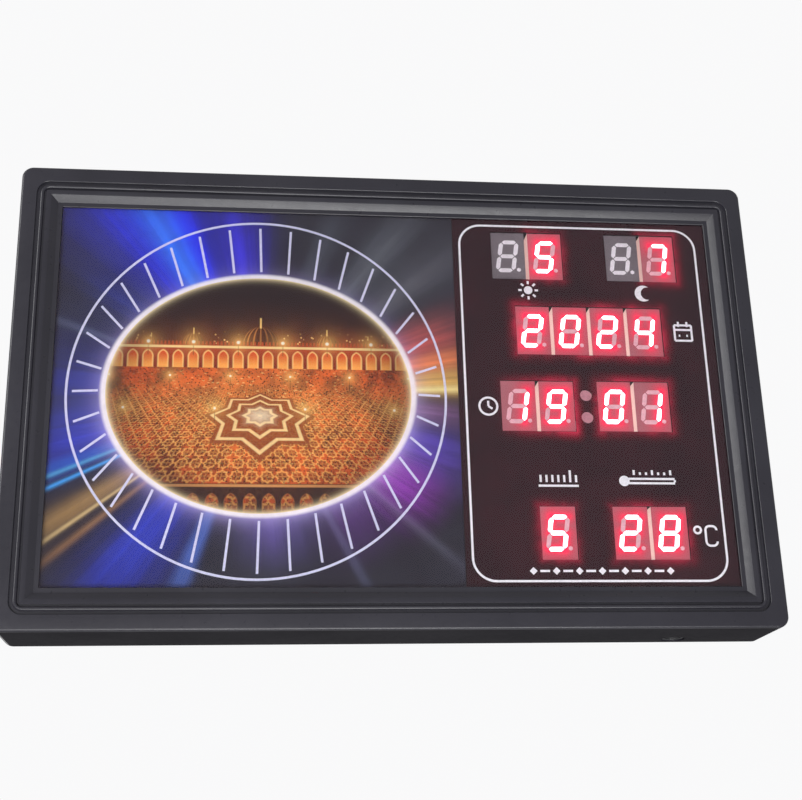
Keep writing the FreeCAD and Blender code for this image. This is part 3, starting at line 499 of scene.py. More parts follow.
class Recipe:
    """Builds one material's node tree, step by step."""

    def __init__(self, name: str) -> None:
        """Starts an empty tree with its output.

        Args:
            name: Name of the material.
        """
        self.material = bpy.data.materials.new(name)
        self.material.use_nodes = True
        self.tree = self.material.node_tree
        self.tree.nodes.clear()
        self.output = self.tree.nodes.new("ShaderNodeOutputMaterial")

    def node(self, kind: str, **settings: object) -> bpy.types.Node:
        """Adds a node.

        Args:
            kind: Type of the node.
            settings: Its properties by name.

        Returns:
            The new node.
        """
        made = self.tree.nodes.new(kind)
        for key, value in settings.items():
            setattr(made, key, value)
        return made

    def feed(self, socket: Socket, value: Value) -> None:
        """Links a socket, or sets it when the value is a plain number or colour.

        Args:
            socket: Input that gets the value.
            value: What it gets.
        """
        if isinstance(value, Reading):
            value = value.socket
        if isinstance(value, Socket):
            self.tree.links.new(value, socket)
        elif isinstance(value, tuple) and len(value) == 3 and socket.type == "RGBA":
            socket.default_value = (*value, 1.0)
        else:
            socket.default_value = value

    def sum(self, operation: str, first: Value, second: Value = 0.0) -> Reading:
        """One step of arithmetic.

        Args:
            operation: Name of the operation.
            first: Number it starts from.
            second: Second number, where it takes one.

        Returns:
            The result.
        """
        made = self.node("ShaderNodeMath", operation=operation)
        self.feed(made.inputs[0], first)
        self.feed(made.inputs[1], second)
        return Reading(self, made.outputs[0])

    def place(self, stretch: Place = (1.0, 1.0, 1.0), centre: Place = (0.0, 0.0, 0.0)) -> Socket:
        """The surface point in millimetres of the row frame.

        Args:
            stretch: Factor along each axis.
            centre: Point that becomes the origin.

        Returns:
            The vector.
        """
        made = self.node("ShaderNodeMapping", vector_type="POINT")
        self.feed(made.inputs["Vector"], self.node("ShaderNodeTexCoord").outputs["Object"])
        made.inputs["Scale"].default_value = tuple(value / MM for value in stretch)
        made.inputs["Location"].default_value = tuple(-at * value for at, value in zip(centre, stretch))
        return made.outputs[0]

    def split(self, vector: Socket) -> tuple[Reading, ...]:
        """Takes a vector apart.

        Args:
            vector: The vector.

        Returns:
            Its x, y and z.
        """
        made = self.node("ShaderNodeSeparateXYZ")
        self.feed(made.inputs[0], vector)
        return tuple(Reading(self, socket) for socket in made.outputs)

    def join(self, x: Value, y: Value, z: Value) -> Socket:
        """Puts a vector together.

        Args:
            x: Its x.
            y: Its y.
            z: Its z.

        Returns:
            The vector.
        """
        made = self.node("ShaderNodeCombineXYZ")
        for socket, value in zip(made.inputs, (x, y, z)):
            self.feed(socket, value)
        return made.outputs[0]

    def noise(
        self, vector: Value, scale: float, detail: float = 3.0, roughness: float = 0.5, seed: float = 0.0
    ) -> Reading:
        """Noise from 0 to 1 over the surface.

        Args:
            vector: Where it is read.
            scale: Waves per unit of the vector.
            detail: Finer layers.
            roughness: Strength of the finer layers.
            seed: Offset that picks another pattern.

        Returns:
            The noise.
        """
        made = self.node("ShaderNodeTexNoise", noise_dimensions="4D")
        self.feed(made.inputs["Vector"], vector)
        for key, value in (("Scale", scale), ("Detail", detail), ("Roughness", roughness), ("W", seed)):
            made.inputs[key].default_value = value
        return Reading(self, made.outputs["Fac"])

    def cells(self, vector: Value, scale: float, feature: str = "F1") -> Reading:
        """Distance within a pattern of cells.

        Args:
            vector: Where it is read.
            scale: Cells per unit of the vector.
            feature: F1 measures to the nearest middle, DISTANCE_TO_EDGE to the cell's edge.

        Returns:
            The distance, in cells.
        """
        made = self.node("ShaderNodeTexVoronoi", feature=feature)
        self.feed(made.inputs["Vector"], vector)
        made.inputs["Scale"].default_value = scale
        return Reading(self, made.outputs["Distance"])

    def mix(self, share: Value, first: Value, second: Value, blend: str = "MIX") -> Socket:
        """Two colours combined, by MIX, ADD, MULTIPLY or SCREEN.

        Args:
            share: 0 keeps the first, 1 gives the second its full part.
            first: Colour below.
            second: Colour above.
            blend: Way of combining.

        Returns:
            The colour.
        """
        made = self.node("ShaderNodeMix", data_type="RGBA", blend_type=blend)
        for index, value in ((0, share), (6, first), (7, second)):
            self.feed(made.inputs[index], value)
        return made.outputs[2]

    def relief(self, height: Reading, depth: float) -> Socket:
        """Surface normal of a fine relief.

        Args:
            height: Height from 0 to 1 over the surface.
            depth: Depth that a height of 1 stands for, millimetres.

        Returns:
            The normal.
        """
        made = self.node("ShaderNodeBump")
        made.inputs["Distance"].default_value = depth * MM
        self.feed(made.inputs["Height"], height)
        return made.outputs[0]

    def shader(self, kind: str, **sockets: Value) -> Socket:
        """Adds a shader.

        Args:
            kind: Type of the shader's node.
            sockets: Its inputs by name, with _ for spaces.

        Returns:
            The shader.
        """
        made = self.node(kind)
        for key, value in sockets.items():
            self.feed(made.inputs[key.replace("_", " ")], value)
        return made.outputs[0]

    def solid(self, **sockets: Value) -> Socket:
        """The plain surface shader, with its inputs by name."""
        return self.shader("ShaderNodeBsdfPrincipled", **sockets)

    def ink(self, colour: Value, **sockets: Value) -> Socket:
        """Matt printing ink, bonded to the glass."""
        return self.solid(Base_Color=colour, Roughness=0.6, Specular_IOR_Level=0.05, **sockets)

    def clear(self, colour: Value) -> Socket:
        """Light that passes straight through, tinted."""
        return self.shader("ShaderNodeBsdfTransparent", Color=colour)

    def blend(self, share: Value, first: Value, second: Value) -> Socket:
        """Mixes two shaders.

        Args:
            share: 0 gives the first, 1 the second.
            first: First shader.
            second: Second shader.

        Returns:
            The mixed shader.
        """
        made = self.node("ShaderNodeMixShader")
        for socket, value in zip(made.inputs, (share, first, second)):
            self.feed(socket, value)
        return made.outputs[0]

    def finish(self, shader: Socket) -> bpy.types.Material:
        """Sets the surface and hands the material over."""
        self.tree.links.new(shader, self.output.inputs["Surface"])
        return self.material


def stroke_distance() -> bpy.types.NodeTree:
    """Node group that gives the distance from a point to a straight stroke.

    Returns:
        The group, made once.
    """
    name = "stroke_distance"
    if name in bpy.data.node_groups:
        return bpy.data.node_groups[name]
    group = bpy.data.node_groups.new(name, "ShaderNodeTree")
    for key in ("Point", "Start", "Run"):
        group.interface.new_socket(key, in_out="INPUT", socket_type="NodeSocketVector")
    group.interface.new_socket("Distance", in_out="OUTPUT", socket_type="NodeSocketFloat")
    source = group.nodes.new("NodeGroupInput")
    sink = group.nodes.new("NodeGroupOutput")

    def vector(operation: str, *values: Socket) -> bpy.types.Node:
        """Adds one step of vector arithmetic.

        Args:
            operation: Name of the operation.
            values: What its inputs get, in order.

        Returns:
            The new node.
        """
        made = group.nodes.new("ShaderNodeVectorMath")
        made.operation = operation
        for socket, value in zip(made.inputs, values):
            group.links.new(value, socket)
        return made

    away = vector("SUBTRACT", source.outputs["Point"], source.outputs["Start"]).outputs[0]
    along = vector("DOT_PRODUCT", away, source.outputs["Run"]).outputs["Value"]
    whole = vector("DOT_PRODUCT", source.outputs["Run"], source.outputs["Run"]).outputs["Value"]
    share = group.nodes.new("ShaderNodeMath")
    share.operation = "DIVIDE"
    share.use_clamp = True
    group.links.new(along, share.inputs[0])
    group.links.new(whole, share.inputs[1])
    reach = group.nodes.new("ShaderNodeVectorMath")
    reach.operation = "SCALE"
    group.links.new(source.outputs["Run"], reach.inputs[0])
    group.links.new(share.outputs[0], reach.inputs["Scale"])
    rest = vector("SUBTRACT", away, reach.outputs[0]).outputs[0]
    group.links.new(vector("LENGTH", rest).outputs["Value"], sink.inputs["Distance"])
    return group


# ------------------------------------------------------------------------------------ finishes
@dataclass(frozen=True)
class MouldedPlastic:
    """Moulded plastic with a fine texture, slight shade changes and softly worn gloss."""

    name: str
    colour: Colour
    rough: float = 0.42
    grain: float = 1.6
    depth: float = 0.02
    shade: float = 0.08
    gloss: float = 0.5

    def make(self) -> bpy.types.Material:
        """Builds the node tree.

        Returns:
            The finished material.
        """
        recipe = Recipe(self.name)
        place = recipe.place()
        broad = recipe.noise(place, 0.03, 3.0, 0.55)
        fine = recipe.noise(place, self.grain, 5.0, 0.6, 3.1)
        pale = tuple(min(1.0, channel * (1.0 + self.shade) + 0.002) for channel in self.colour)
        deep = shaded(self.colour, 1.0 - self.shade)
        base = recipe.mix(broad.fade(0.3, 0.7), deep, pale)
        base = recipe.mix(fine.fade(0.62, 0.78, 0.0, 0.3), base, pale)
        wear = recipe.noise(place, 0.4, 4.0, 0.65, 7.7)
        rough = wear.fade(0.3, 0.7, self.rough - 0.03, self.rough + 0.04)
        normal = recipe.relief(fine, self.depth)
        return recipe.finish(
            recipe.solid(Base_Color=base, Roughness=rough, Normal=normal, Specular_IOR_Level=self.gloss)
        )


@dataclass(frozen=True)
class PlatedMetal:
    """Bright plated or pressed metal with fine working marks."""

    name: str
    colour: Colour
    rough: float = 0.28
    stained: float = 0.72
    mark_depth: float = 0.006

    def make(self) -> bpy.types.Material:
        """Builds the node tree.

        Returns:
            The finished material.
        """
        recipe = Recipe(self.name)
        marks = recipe.noise(recipe.place((9.0, 9.0, 0.7)), 0.8, 4.0, 0.6)
        stain = recipe.noise(recipe.place(), 0.5, 3.0, 0.5, 2.0)
        base = recipe.mix(stain.fade(0.35, 0.75), self.colour, shaded(self.colour, self.stained))
        rough = marks.fade(0.3, 0.7, self.rough - 0.08, self.rough + 0.12)
        normal = recipe.relief(marks, self.mark_depth)
        return recipe.finish(recipe.solid(Base_Color=base, Metallic=1.0, Roughness=rough, Normal=normal))


@dataclass(frozen=True)
class ClearPane:
    """Clear glass with the films bonded to its back, so that only its front mirrors a little."""

    name: str = "clear_pane"
    index: float = 1.46
    glass: Colour = (0.985, 0.99, 0.988)
    mirrored: Colour = (0.82, 0.68, 0.76)
    smear: float = 0.035

    def make(self) -> bpy.types.Material:
        """Builds the node tree.

        Returns:
            The finished material.
        """
        recipe = Recipe(self.name)
        smears = recipe.noise(recipe.place((1.0, 1.0, 0.6)), 0.02, 5.0, 0.65)
        _, y, _ = recipe.split(recipe.place())
        bonded = y.fade(GLASS_BACK_Y - 0.3, GLASS_BACK_Y - 0.1, 1.0, 0.0)
        fresnel = recipe.node("ShaderNodeFresnel")
        fresnel.inputs["IOR"].default_value = self.index
        rough = smears.fade(0.5, 0.8, 0.0, self.smear)
        gloss = recipe.shader("ShaderNodeBsdfGlossy", Color=self.mirrored, Roughness=rough)
        return recipe.finish(recipe.blend(bonded * fresnel.outputs[0], recipe.clear(self.glass), gloss))


@dataclass(frozen=True)
class MaskedFilm:
    """Smoked film printed black all over but for its clear windows over the lamps."""

    windows: tuple[Extent, ...]
    holes: tuple[tuple[Point, float], ...]
    name: str = "masked_film"
    tint: Colour = (0.985, 0.965, 0.975)
    black: Colour = (0.0170, 0.0030, 0.0055)
    warm_black: Colour = (0.0323, 0.0051, 0.0088)
    edge: float = 0.12

    def opening(self, recipe: Recipe) -> Reading:
        """Measures to the edges of the windows and the lamps' holes.

        Args:
            recipe: Recipe of the film.

        Returns:
            Distance to the nearest edge, below zero inside it.
        """
        x, _, z = recipe.split(recipe.place())
        distances = []
        for low_x, high_x, low_z, high_z in self.windows:
            off_x = (x - (low_x + high_x) / 2.0).size() - (high_x - low_x) / 2.0
            off_z = (z - (low_z + high_z) / 2.0).size() - (high_z - low_z) / 2.0
            distances.append(off_x.most(off_z))
        for (at_x, at_z), radius in self.holes:
            distances.append((x - at_x).span(z - at_z) - radius)
        return closest(distances)

    def make(self) -> bpy.types.Material:
        """Builds the node tree.

        Returns:
            The finished material.
        """
        recipe = Recipe(self.name)
        cloud = recipe.noise(recipe.place(), 0.05, 4.0, 0.6)
        clear = recipe.clear(recipe.mix(cloud.fade(0.3, 0.7), shaded(self.tint, 0.95), self.tint))
        mask = recipe.ink(recipe.mix(cloud.fade(0.35, 0.7), self.black, self.warm_black))
        covered = self.opening(recipe).fade(-self.edge, self.edge, 0.01, 1.0)
        return recipe.finish(recipe.blend(covered, clear, mask))


@dataclass(frozen=True)
class ScreenInk:
    """Opaque screen-printed ink with a slightly uneven lay-down, and a painted glow of the given light."""

    name: str
    colour: Colour
    light: float = 0.0

    def make(self) -> bpy.types.Material:
        """Builds the node tree.

        Returns:
            The finished material.
        """
        recipe = Recipe(self.name)
        lay = recipe.noise(recipe.place(), 1.4, 4.0, 0.6)
        base = recipe.mix(lay.fade(0.3, 0.7), shaded(self.colour, 0.84), self.colour)
        # Emission on the ink where light is given: painted glow.
        return recipe.finish(recipe.ink(base, Emission_Color=base, Emission_Strength=self.light))


@dataclass(frozen=True)
class DigitHousing:
    """LED digit body with a grey face and white sides; light glows round its lit strokes, and the face is
    painted dark red there as painted glow.
    """

    name: str
    strokes: tuple[Stroke, ...] = ()
    centre: Point = (0.0, 0.0)
    face: Colour = tone(146, 138, 144)
    side: Colour = tone(205, 196, 196)
    # Dark red painted into the face near the lit strokes: painted glow.
    painted_glow_face: Colour = tone(50, 6, 14)
    near: Colour = (1.4, 0.03, 0.12)
    far: Colour = (0.33, 0.055, 0.075)
    side_light: Colour = (0.50, 0.32, 0.28)
    reach: float = 1.9
    half_stroke: float = 0.7
    gloss: float = 0.2

    def glow(self, recipe: Recipe) -> Reading:
        """Measures to the lit strokes.

        Args:
            recipe: Recipe of the housing.

        Returns:
            Share of light, from 1 beside a lit stroke to 0 far from all of them.
        """
        point = recipe.place((1.0, 0.0, 1.0), (self.centre[0], 0.0, self.centre[1]))
        distances = []
        for (x0, z0), (x1, z1) in self.strokes:
            part = recipe.node("ShaderNodeGroup", node_tree=stroke_distance())
            recipe.feed(part.inputs["Point"], point)
            recipe.feed(part.inputs["Start"], (x0, 0.0, z0))
            recipe.feed(part.inputs["Run"], (x1 - x0, 0.0, z1 - z0))
            distances.append(Reading(recipe, part.outputs["Distance"]))
        return (closest(distances) - self.half_stroke).most(0.0).falloff(self.reach)

    def make(self) -> bpy.types.Material:
        """Builds the node tree.

        Returns:
            The finished material.
        """
        recipe = Recipe(self.name)
        place = recipe.place()
        _, y, _ = recipe.split(place)
        front = y.step("LESS_THAN", DIGIT_Y + 0.02)
        speckle = recipe.noise(place, 2.6, 4.0, 0.65)
        face = recipe.mix(speckle.fade(0.3, 0.7), shaded(self.face, 0.82), self.face)
        side = recipe.mix(speckle.fade(0.3, 0.7), shaded(self.side, 0.9), self.side)
        sockets = {"Roughness": speckle.fade(0.2, 0.8, 0.5, 0.6), "Specular_IOR_Level": self.gloss}
        if self.strokes:
            uneven = recipe.noise(place, 0.12, 3.0, 0.55, 1.3).fade(0.3, 0.7, 0.7, 1.1)
            share = self.glow(recipe) * uneven
            # Painted glow: the face's own colour turns dark red towards the lit strokes, on top of the
            # emitted light.
            face = recipe.mix(share.step("POWER", 0.5), face, self.painted_glow_face)
            light = recipe.mix(share, self.far, self.near)
            sockets["Emission_Color"] = recipe.mix(front, self.side_light, light)
            sockets["Emission_Strength"] = 1.0
        return recipe.finish(recipe.solid(Base_Color=recipe.mix(front, side, face), **sockets))


@dataclass(frozen=True)
class MilkyWell:
    """Milky resin of a light well: lit, or dark but for light that strays into it."""

    name: str
    colour: Colour
    light: Colour
    strength: float
    dark_places: tuple[Point, ...] = ()
    dark_half: Point = (6.5, 10.0)
    dark_colour: Colour = tone(228, 224, 230)
    dark_light: Colour = (0.34, 0.32, 0.34)
    flaw: Colour = (0.1, 0.1, 0.1)
    rough: float = 0.35
    gloss: float = 0.2

    def make(self) -> bpy.types.Material:
        """Builds the node tree.

        Returns:
            The finished material.
        """
        recipe = Recipe(self.name)
        place = recipe.place()
        cloud = recipe.noise(place, 0.9, 3.0, 0.5)
        base, light = self.colour, recipe.mix(cloud.fade(0.35, 0.7), shaded(self.light, 0.85), self.light)
        x, _, z = recipe.split(place)
        wide, tall = self.dark_half
        for at_x, at_z in self.dark_places:
            outside = ((x - at_x).size() - wide).most((z - at_z).size() - tall).fade(-0.2, 0.2)
            base = recipe.mix(outside, self.dark_colour, base)
            light = recipe.mix(outside, self.dark_light, light)
        shader = recipe.solid(
            Base_Color=recipe.mix(cloud.fade(0.3, 0.7, 0.14, 0.0), base, self.flaw),
            Roughness=self.rough,
            Specular_IOR_Level=self.gloss,
            Emission_Color=light,
            Emission_Strength=self.strength,
        )
        return recipe.finish(shader)


@dataclass(frozen=True)
class StrayLight:
    """Red light that strays over the film round a lit field and fades outward."""

    name: str = "stray_light"
    colour: Colour = (0.80, 0.03, 0.09)
    last_colour: Colour = (0.5, 0.0, 0.03)
    bend: float = 2.4

    def make(self) -> bpy.types.Material:
        """Builds the node tree; the UV holds the field's strength and the way outward.

        Returns:
            The finished material.
        """
        recipe = Recipe(self.name)
        strength, outward, _ = recipe.split(recipe.node("ShaderNodeTexCoord").outputs["UV"])
        patch = recipe.noise(recipe.place(), 0.07, 3.0, 0.6, 4.0).fade(0.38, 0.62, 0.3, 1.4)
        share = (1.0 - outward).most(0.0).step("POWER", self.bend) * patch * strength
        colour = recipe.mix(outward.fade(0.0, 0.6), self.colour, self.last_colour)
        lamp = recipe.shader("ShaderNodeEmission", Color=colour)
        return recipe.finish(recipe.blend(share, recipe.clear((1.0, 1.0, 1.0)), lamp))


@dataclass(frozen=True)
class SolderMask:
    """Circuit board lacquer over faint copper tracks."""

    name: str = "solder_mask"
    lacquer: Colour = (0.006, 0.022, 0.014)
    copper: Colour = (0.016, 0.050, 0.030)
    track_depth: float = 0.03

    def make(self) -> bpy.types.Material:
        """Builds the node tree.

        Returns:
            The finished material.
        """
        recipe = Recipe(self.name)
        grid = recipe.cells(recipe.place((1.0, 0.0, 0.35)), 0.55, "DISTANCE_TO_EDGE")
        track = grid.fade(0.03, 0.08, 1.0, 0.0)
        mottle = recipe.noise(recipe.place(), 0.3, 3.0)
        base = recipe.mix(track, self.lacquer, self.copper)
        rough = mottle.fade(0.3, 0.7, 0.22, 0.34)
        normal = recipe.relief(track, self.track_depth)
        return recipe.finish(recipe.solid(Base_Color=base, Roughness=rough, Normal=normal))


@dataclass(frozen=True)
class Beam:
    """One beam of light printed on the dial.

    Attributes:
        angle: Direction in degrees, anticlockwise from the right.
        width: Half width in degrees.
        colour: Its colour.
        near: Distance from the middle at which it starts to fade.
        far: Distance at which it is gone.
        strength: How strong it is.
    """

    angle: float
    width: float
    colour: Colour
    near: float
    far: float
    strength: float = 1.0


BEAMS = (
    Beam(118.0, 16.0, tone(20, 36, 244), 76.0, 140.0, 1.0),
    Beam(120.0, 4.5, tone(44, 130, 255), 56.0, 124.0, 1.0),
    Beam(97.0, 8.0, tone(54, 40, 214), 48.0, 92.0, 0.9),
    Beam(146.0, 7.0, tone(36, 54, 150), 52.0, 84.0, 0.5),
    Beam(160.0, 1.2, tone(96, 104, 132), 60.0, 116.0, 0.45),
    Beam(181.0, 16.0, tone(34, 46, 168), 50.0, 98.0, 0.75),
    Beam(196.0, 6.0, tone(30, 44, 190), 58.0, 118.0, 0.9),
    Beam(202.6, 1.9, tone(16, 104, 236), 72.0, 126.0, 0.9),
    Beam(203.6, 0.6, tone(100, 206, 255), 84.0, 140.0, 0.9),
    Beam(206.4, 0.6, tone(60, 170, 255), 80.0, 136.0, 0.9),
    Beam(214.0, 2.6, tone(176, 136, 76), 68.0, 132.0, 0.8),
    Beam(217.0, 0.5, tone(240, 204, 140), 70.0, 126.0, 0.6),
    Beam(220.5, 1.0, tone(160, 114, 56), 70.0, 126.0, 0.6),
    Beam(235.0, 8.0, tone(34, 56, 206), 64.0, 114.0, 0.85),
    Beam(249.0, 2.2, tone(92, 130, 236), 54.0, 104.0, 0.7),
    Beam(276.0, 11.0, tone(120, 96, 196), 44.0, 68.0, 0.6),
    Beam(308.0, 12.0, tone(96, 48, 130), 52.0, 76.0, 0.7),
    Beam(327.0, 9.0, tone(150, 50, 180), 54.0, 82.0, 1.0),
    Beam(298.0, 1.4, tone(110, 112, 150), 58.0, 112.0, 0.35),
    Beam(318.0, 1.4, tone(120, 116, 140), 58.0, 118.0, 0.4),
    Beam(341.0, 8.0, tone(90, 66, 190), 56.0, 90.0, 0.9),
    Beam(353.0, 4.0, tone(160, 110, 160), 56.0, 86.0, 0.7),
    Beam(2.0, 1.2, tone(255, 232, 150), 60.0, 104.0, 1.0),
    Beam(4.0, 4.0, tone(250, 196, 96), 60.0, 96.0, 1.0),
    Beam(11.0, 3.4, tone(240, 130, 66), 60.0, 94.0, 1.0),
    Beam(20.0, 6.0, tone(206, 84, 70), 58.0, 88.0, 0.9),
    Beam(38.0, 5.0, tone(104, 104, 112), 62.0, 116.0, 0.6),
    Beam(52.0, 5.0, tone(104, 108, 116), 62.0, 112.0, 0.6),
    Beam(68.0, 4.0, tone(88, 94, 106), 56.0, 100.0, 0.5),
)


def printed(recipe: Recipe, colour: Socket) -> bpy.types.Material:
    """Finishes a printed film: matt ink under bonded glass, slightly uneven, with a plain paper back.

    Args:
        recipe: Recipe of the print.
        colour: Its colours.

    Returns:
        The material.
    """
    lay = recipe.noise(recipe.place(), 0.25, 3.0, 0.6, 6.0)
    shade = recipe.mix(lay.fade(0.3, 0.7, 0.0, 0.1), colour, (0.01, 0.01, 0.015))
    _, y, _ = recipe.split(recipe.place())
    rear = y.fade(SHEET_BACK_Y - 0.10, SHEET_BACK_Y - 0.04)
    paper = recipe.mix(lay.fade(0.3, 0.7), tone(196, 195, 190), tone(208, 207, 203))
    return recipe.finish(recipe.ink(recipe.mix(rear, shade, paper)))


@dataclass(frozen=True)
class Oval:
    """Oval of the dial: its middle and half sizes, millimetres."""

    x: float = -47.1
    z: float = 0.3
    half_x: float = 53.0
    half_z: float = 43.5

    def place(self, recipe: Recipe) -> tuple[Reading, Reading]:
        """The surface point from the oval's middle, along X and Z."""
        x, _, z = recipe.split(recipe.place(centre=(self.x, 0.0, self.z)))
        return x, z

    def beyond(self, recipe: Recipe) -> Reading:
        """Distance outside the oval's edge, below zero inside it."""
        x, z = self.place(recipe)
        return ((x / self.half_x).span(z / self.half_z) - 1.0) * ((self.half_x + self.half_z) / 2.0)


@dataclass(frozen=True)
class DialArtwork:
    """Printed sheet: dark slate with coloured beams that meet behind a glowing oval."""

    oval: Oval
    name: str = "dial_artwork"
    slate: Colour = tone(28, 29, 40)
    mist: Colour = tone(48, 51, 62)
    halo: Colour = tone(196, 180, 255)
    halo_reach: float = 2.6
    rim: Colour = tone(252, 244, 252)
    rim_edges: Point = (0.9, 2.3)

    def make(self) -> bpy.types.Material:
        """Builds the node tree.

        Returns:
            The finished material.
        """
        recipe = Recipe(self.name)
        x, z = self.oval.place(recipe)
        away = x.span(z).most(1.0)
        heading = recipe.join(x / away, 0.0, z / away)
        streaks = recipe.noise(heading, 9.0, 5.0, 0.65, 2.0).fade(0.3, 0.7, 0.45, 1.3)
        mist = recipe.noise(recipe.place(), 0.018, 4.0, 0.6, 5.0)
        colour = recipe.mix(mist.fade(0.35, 0.7), self.slate, self.mist)
        for beam in BEAMS:
            turn = math.radians(beam.angle)
            facing = recipe.node("ShaderNodeVectorMath", operation="DOT_PRODUCT")
            recipe.feed(facing.inputs[0], heading)
            recipe.feed(facing.inputs[1], (math.cos(turn), 0.0, math.sin(turn)))
            apart = 1.0 - Reading(recipe, facing.outputs["Value"])
            share = apart.falloff(1.0 - math.cos(math.radians(beam.width)))
            share = share * away.fade(beam.near, beam.far, beam.strength, 0.0) * streaks
            colour = recipe.mix(share, colour, beam.colour, "SCREEN")
        beyond = self.oval.beyond(recipe)
        lower = z.fade(30.0, -30.0, 0.35, 1.0)
        halo = beyond.most(0.0).falloff(self.halo_reach) * lower
        colour = recipe.mix(halo, colour, self.halo, "SCREEN")
        return printed(recipe, recipe.mix(beyond.fade(*self.rim_edges, 1.0, 0.0), colour, self.rim))


@dataclass(frozen=True)
class CourtyardPicture:
    """Night picture in the oval: a golden tiled court with a star, an arcade, domes and lamps.

    The methods that paint take x and z, the place from the oval's middle in millimetres, and the
    colours that lie below. Each dome has its place and radius, and each row of lamps its pitch,
    height, size and reach.
    """

    oval: Oval
    name: str = "courtyard_picture"
    horizon: float = 27.0
    eye_height: float = 11.0
    focus: float = 60.0
    medal_reach: float = 4.2
    medal_depth: float = 18.6
    wall_foot: float = 9.0
    wall_top: float = 18.0
    bay: float = 5.2
    arch_shift: float = 0.9
    arch_radius: float = 2.6
    dome_sizes: tuple[Point, ...] = ((0.0, 6.4), (-23.4, 3.9), (23.4, 3.9), (-38.0, 2.6), (38.0, 2.6))
    lamp_rows: tuple[tuple[float, ...], ...] = (
        (15.6, 18.6, 0.8, 2.1),
        (20.8, 6.0, 0.5, 1.5),
        (31.2, -6.0, 0.6, 1.9),
    )
    rail_top: float = -33.0
    rail_bay: float = 6.4
    rail_shift: float = 1.2
    rail_radius: float = 3.4

    def star(self, across: Reading, along: Reading) -> Reading:
        """Measures outward from the middle of an eight-pointed star.

        Args:
            across: Place across the star.
            along: Place along it.

        Returns:
            Size of the star whose outline the point lies on.
        """
        across, along = across.size(), along.size()
        return across.most(along).least((across + along) * math.sqrt(0.5))

    def court(self, recipe: Recipe, x: Reading, z: Reading) -> Socket:
        """Paints the star-tiled floor in perspective, brightest in the middle.

        Args:
            recipe: Recipe of the picture.
            x: Place across the oval.
            z: Place up the oval.

        Returns:
            The colours of the floor.
        """
        depth = (self.horizon - z).most(6.0)
        across = (x * self.eye_height) / depth
        along = recipe.sum("DIVIDE", self.focus * self.eye_height, depth)
        point = self.star(across.repeat(1.0), along.repeat(1.0))
        line = (point - 0.31).size().fade(0.03, 0.09, 1.0, 0.0)
        lane = across.repeat(1.0).size().least(along.repeat(1.0).size()).fade(0.02, 0.06, 0.5, 0.0)
        far = depth.fade(20.0, 34.0)
        light = ((x / 36.0).step("POWER", 2.0) + ((z + 6.0) / 24.0).step("POWER", 2.0)).falloff(1.0)
        patch = recipe.noise(recipe.place(), 0.11, 4.0, 0.7, 8.0)
        speck = recipe.cells(recipe.place(), 1.15)
        colour = recipe.mix(patch.fade(0.38, 0.62), tone(84, 22, 8), tone(224, 88, 30))
        colour = recipe.mix(point.fade(0.27, 0.31, 0.5, 0.0) * far, colour, tone(70, 18, 8))
        colour = recipe.mix(line.most(lane) * far * 0.7, colour, tone(255, 184, 96))
        colour = recipe.mix(light * 0.4, colour, tone(255, 150, 70), "SCREEN")
        colour = recipe.mix(speck.fade(0.16, 0.40, 0.9, 0.0), colour, tone(40, 12, 6))
        glint = recipe.cells(recipe.place((0.6, 1.0, 1.4)), 0.75).fade(0.12, 0.3, 0.8, 0.0)
        colour = recipe.mix(glint * light, colour, tone(255, 224, 140))
        return self.medallion(recipe, colour, across, along)

    def medallion(self, recipe: Recipe, colour: Socket, across: Reading, along: Reading) -> Socket:
        """Paints a large star set into the floor, in rings.

        Args:
            recipe: Recipe of the picture.
            colour: Colours of the floor.
            across: Place on the floor, to the side.
            along: Place on the floor, away from the eye.

        Returns:
            The colours with the star.
        """
        reach = self.medal_reach
        point = self.star(across / reach, (along - self.medal_depth) / reach)
        rings = (point * 3.5).repeat(1.0).size().fade(0.30, 0.42)
        inside = point.fade(0.98, 1.02, 1.0, 0.0)
        tiles = recipe.mix(rings, tone(150, 76, 34), tone(255, 226, 160))
        tiles = recipe.mix(point.fade(0.0, 0.5, 0.8, 0.0), tiles, tone(255, 246, 214))
        return recipe.mix(inside * 0.85, colour, tiles)

    def arcade(self, recipe: Recipe, colour: Socket, x: Reading, z: Reading) -> Socket:
        """Paints lit pointed arches under a cornice with battlements.

        Args:
            recipe: Recipe of the picture.
            colour: Colours below.
            x: Place across the oval.
            z: Place up the oval.

        Returns:
            The colours with the arcade.
        """
        spring = self.wall_foot + 4.0
        side = x.repeat(self.bay).size() + self.arch_shift
        opening = side.span(z.most(spring) - spring) - self.arch_radius
        wall = recipe.mix(z.fade(self.wall_foot, self.wall_top), tone(128, 38, 18), tone(184, 74, 32))
        glow = recipe.mix(z.fade(self.wall_foot, spring + 2.0), tone(255, 176, 84), tone(222, 80, 28))
        wall = recipe.mix(opening.fade(-0.15, 0.15, 1.0, 0.0), wall, glow)
        wall = recipe.mix(opening.size().fade(0.1, 0.45, 0.8, 0.0), wall, tone(255, 206, 128))
        cornice = (z - (self.wall_top - 1.2)).size().fade(0.3, 0.6, 1.0, 0.0)
        wall = recipe.mix(cornice, wall, tone(255, 220, 150))
        teeth = x.repeat(1.3).size().fade(0.3, 0.4, 1.3, 0.0)
        height = z - (teeth + (self.wall_top - 0.4))
        return recipe.mix(height.fade(-0.12, 0.12, 1.0, 0.0), colour, wall)

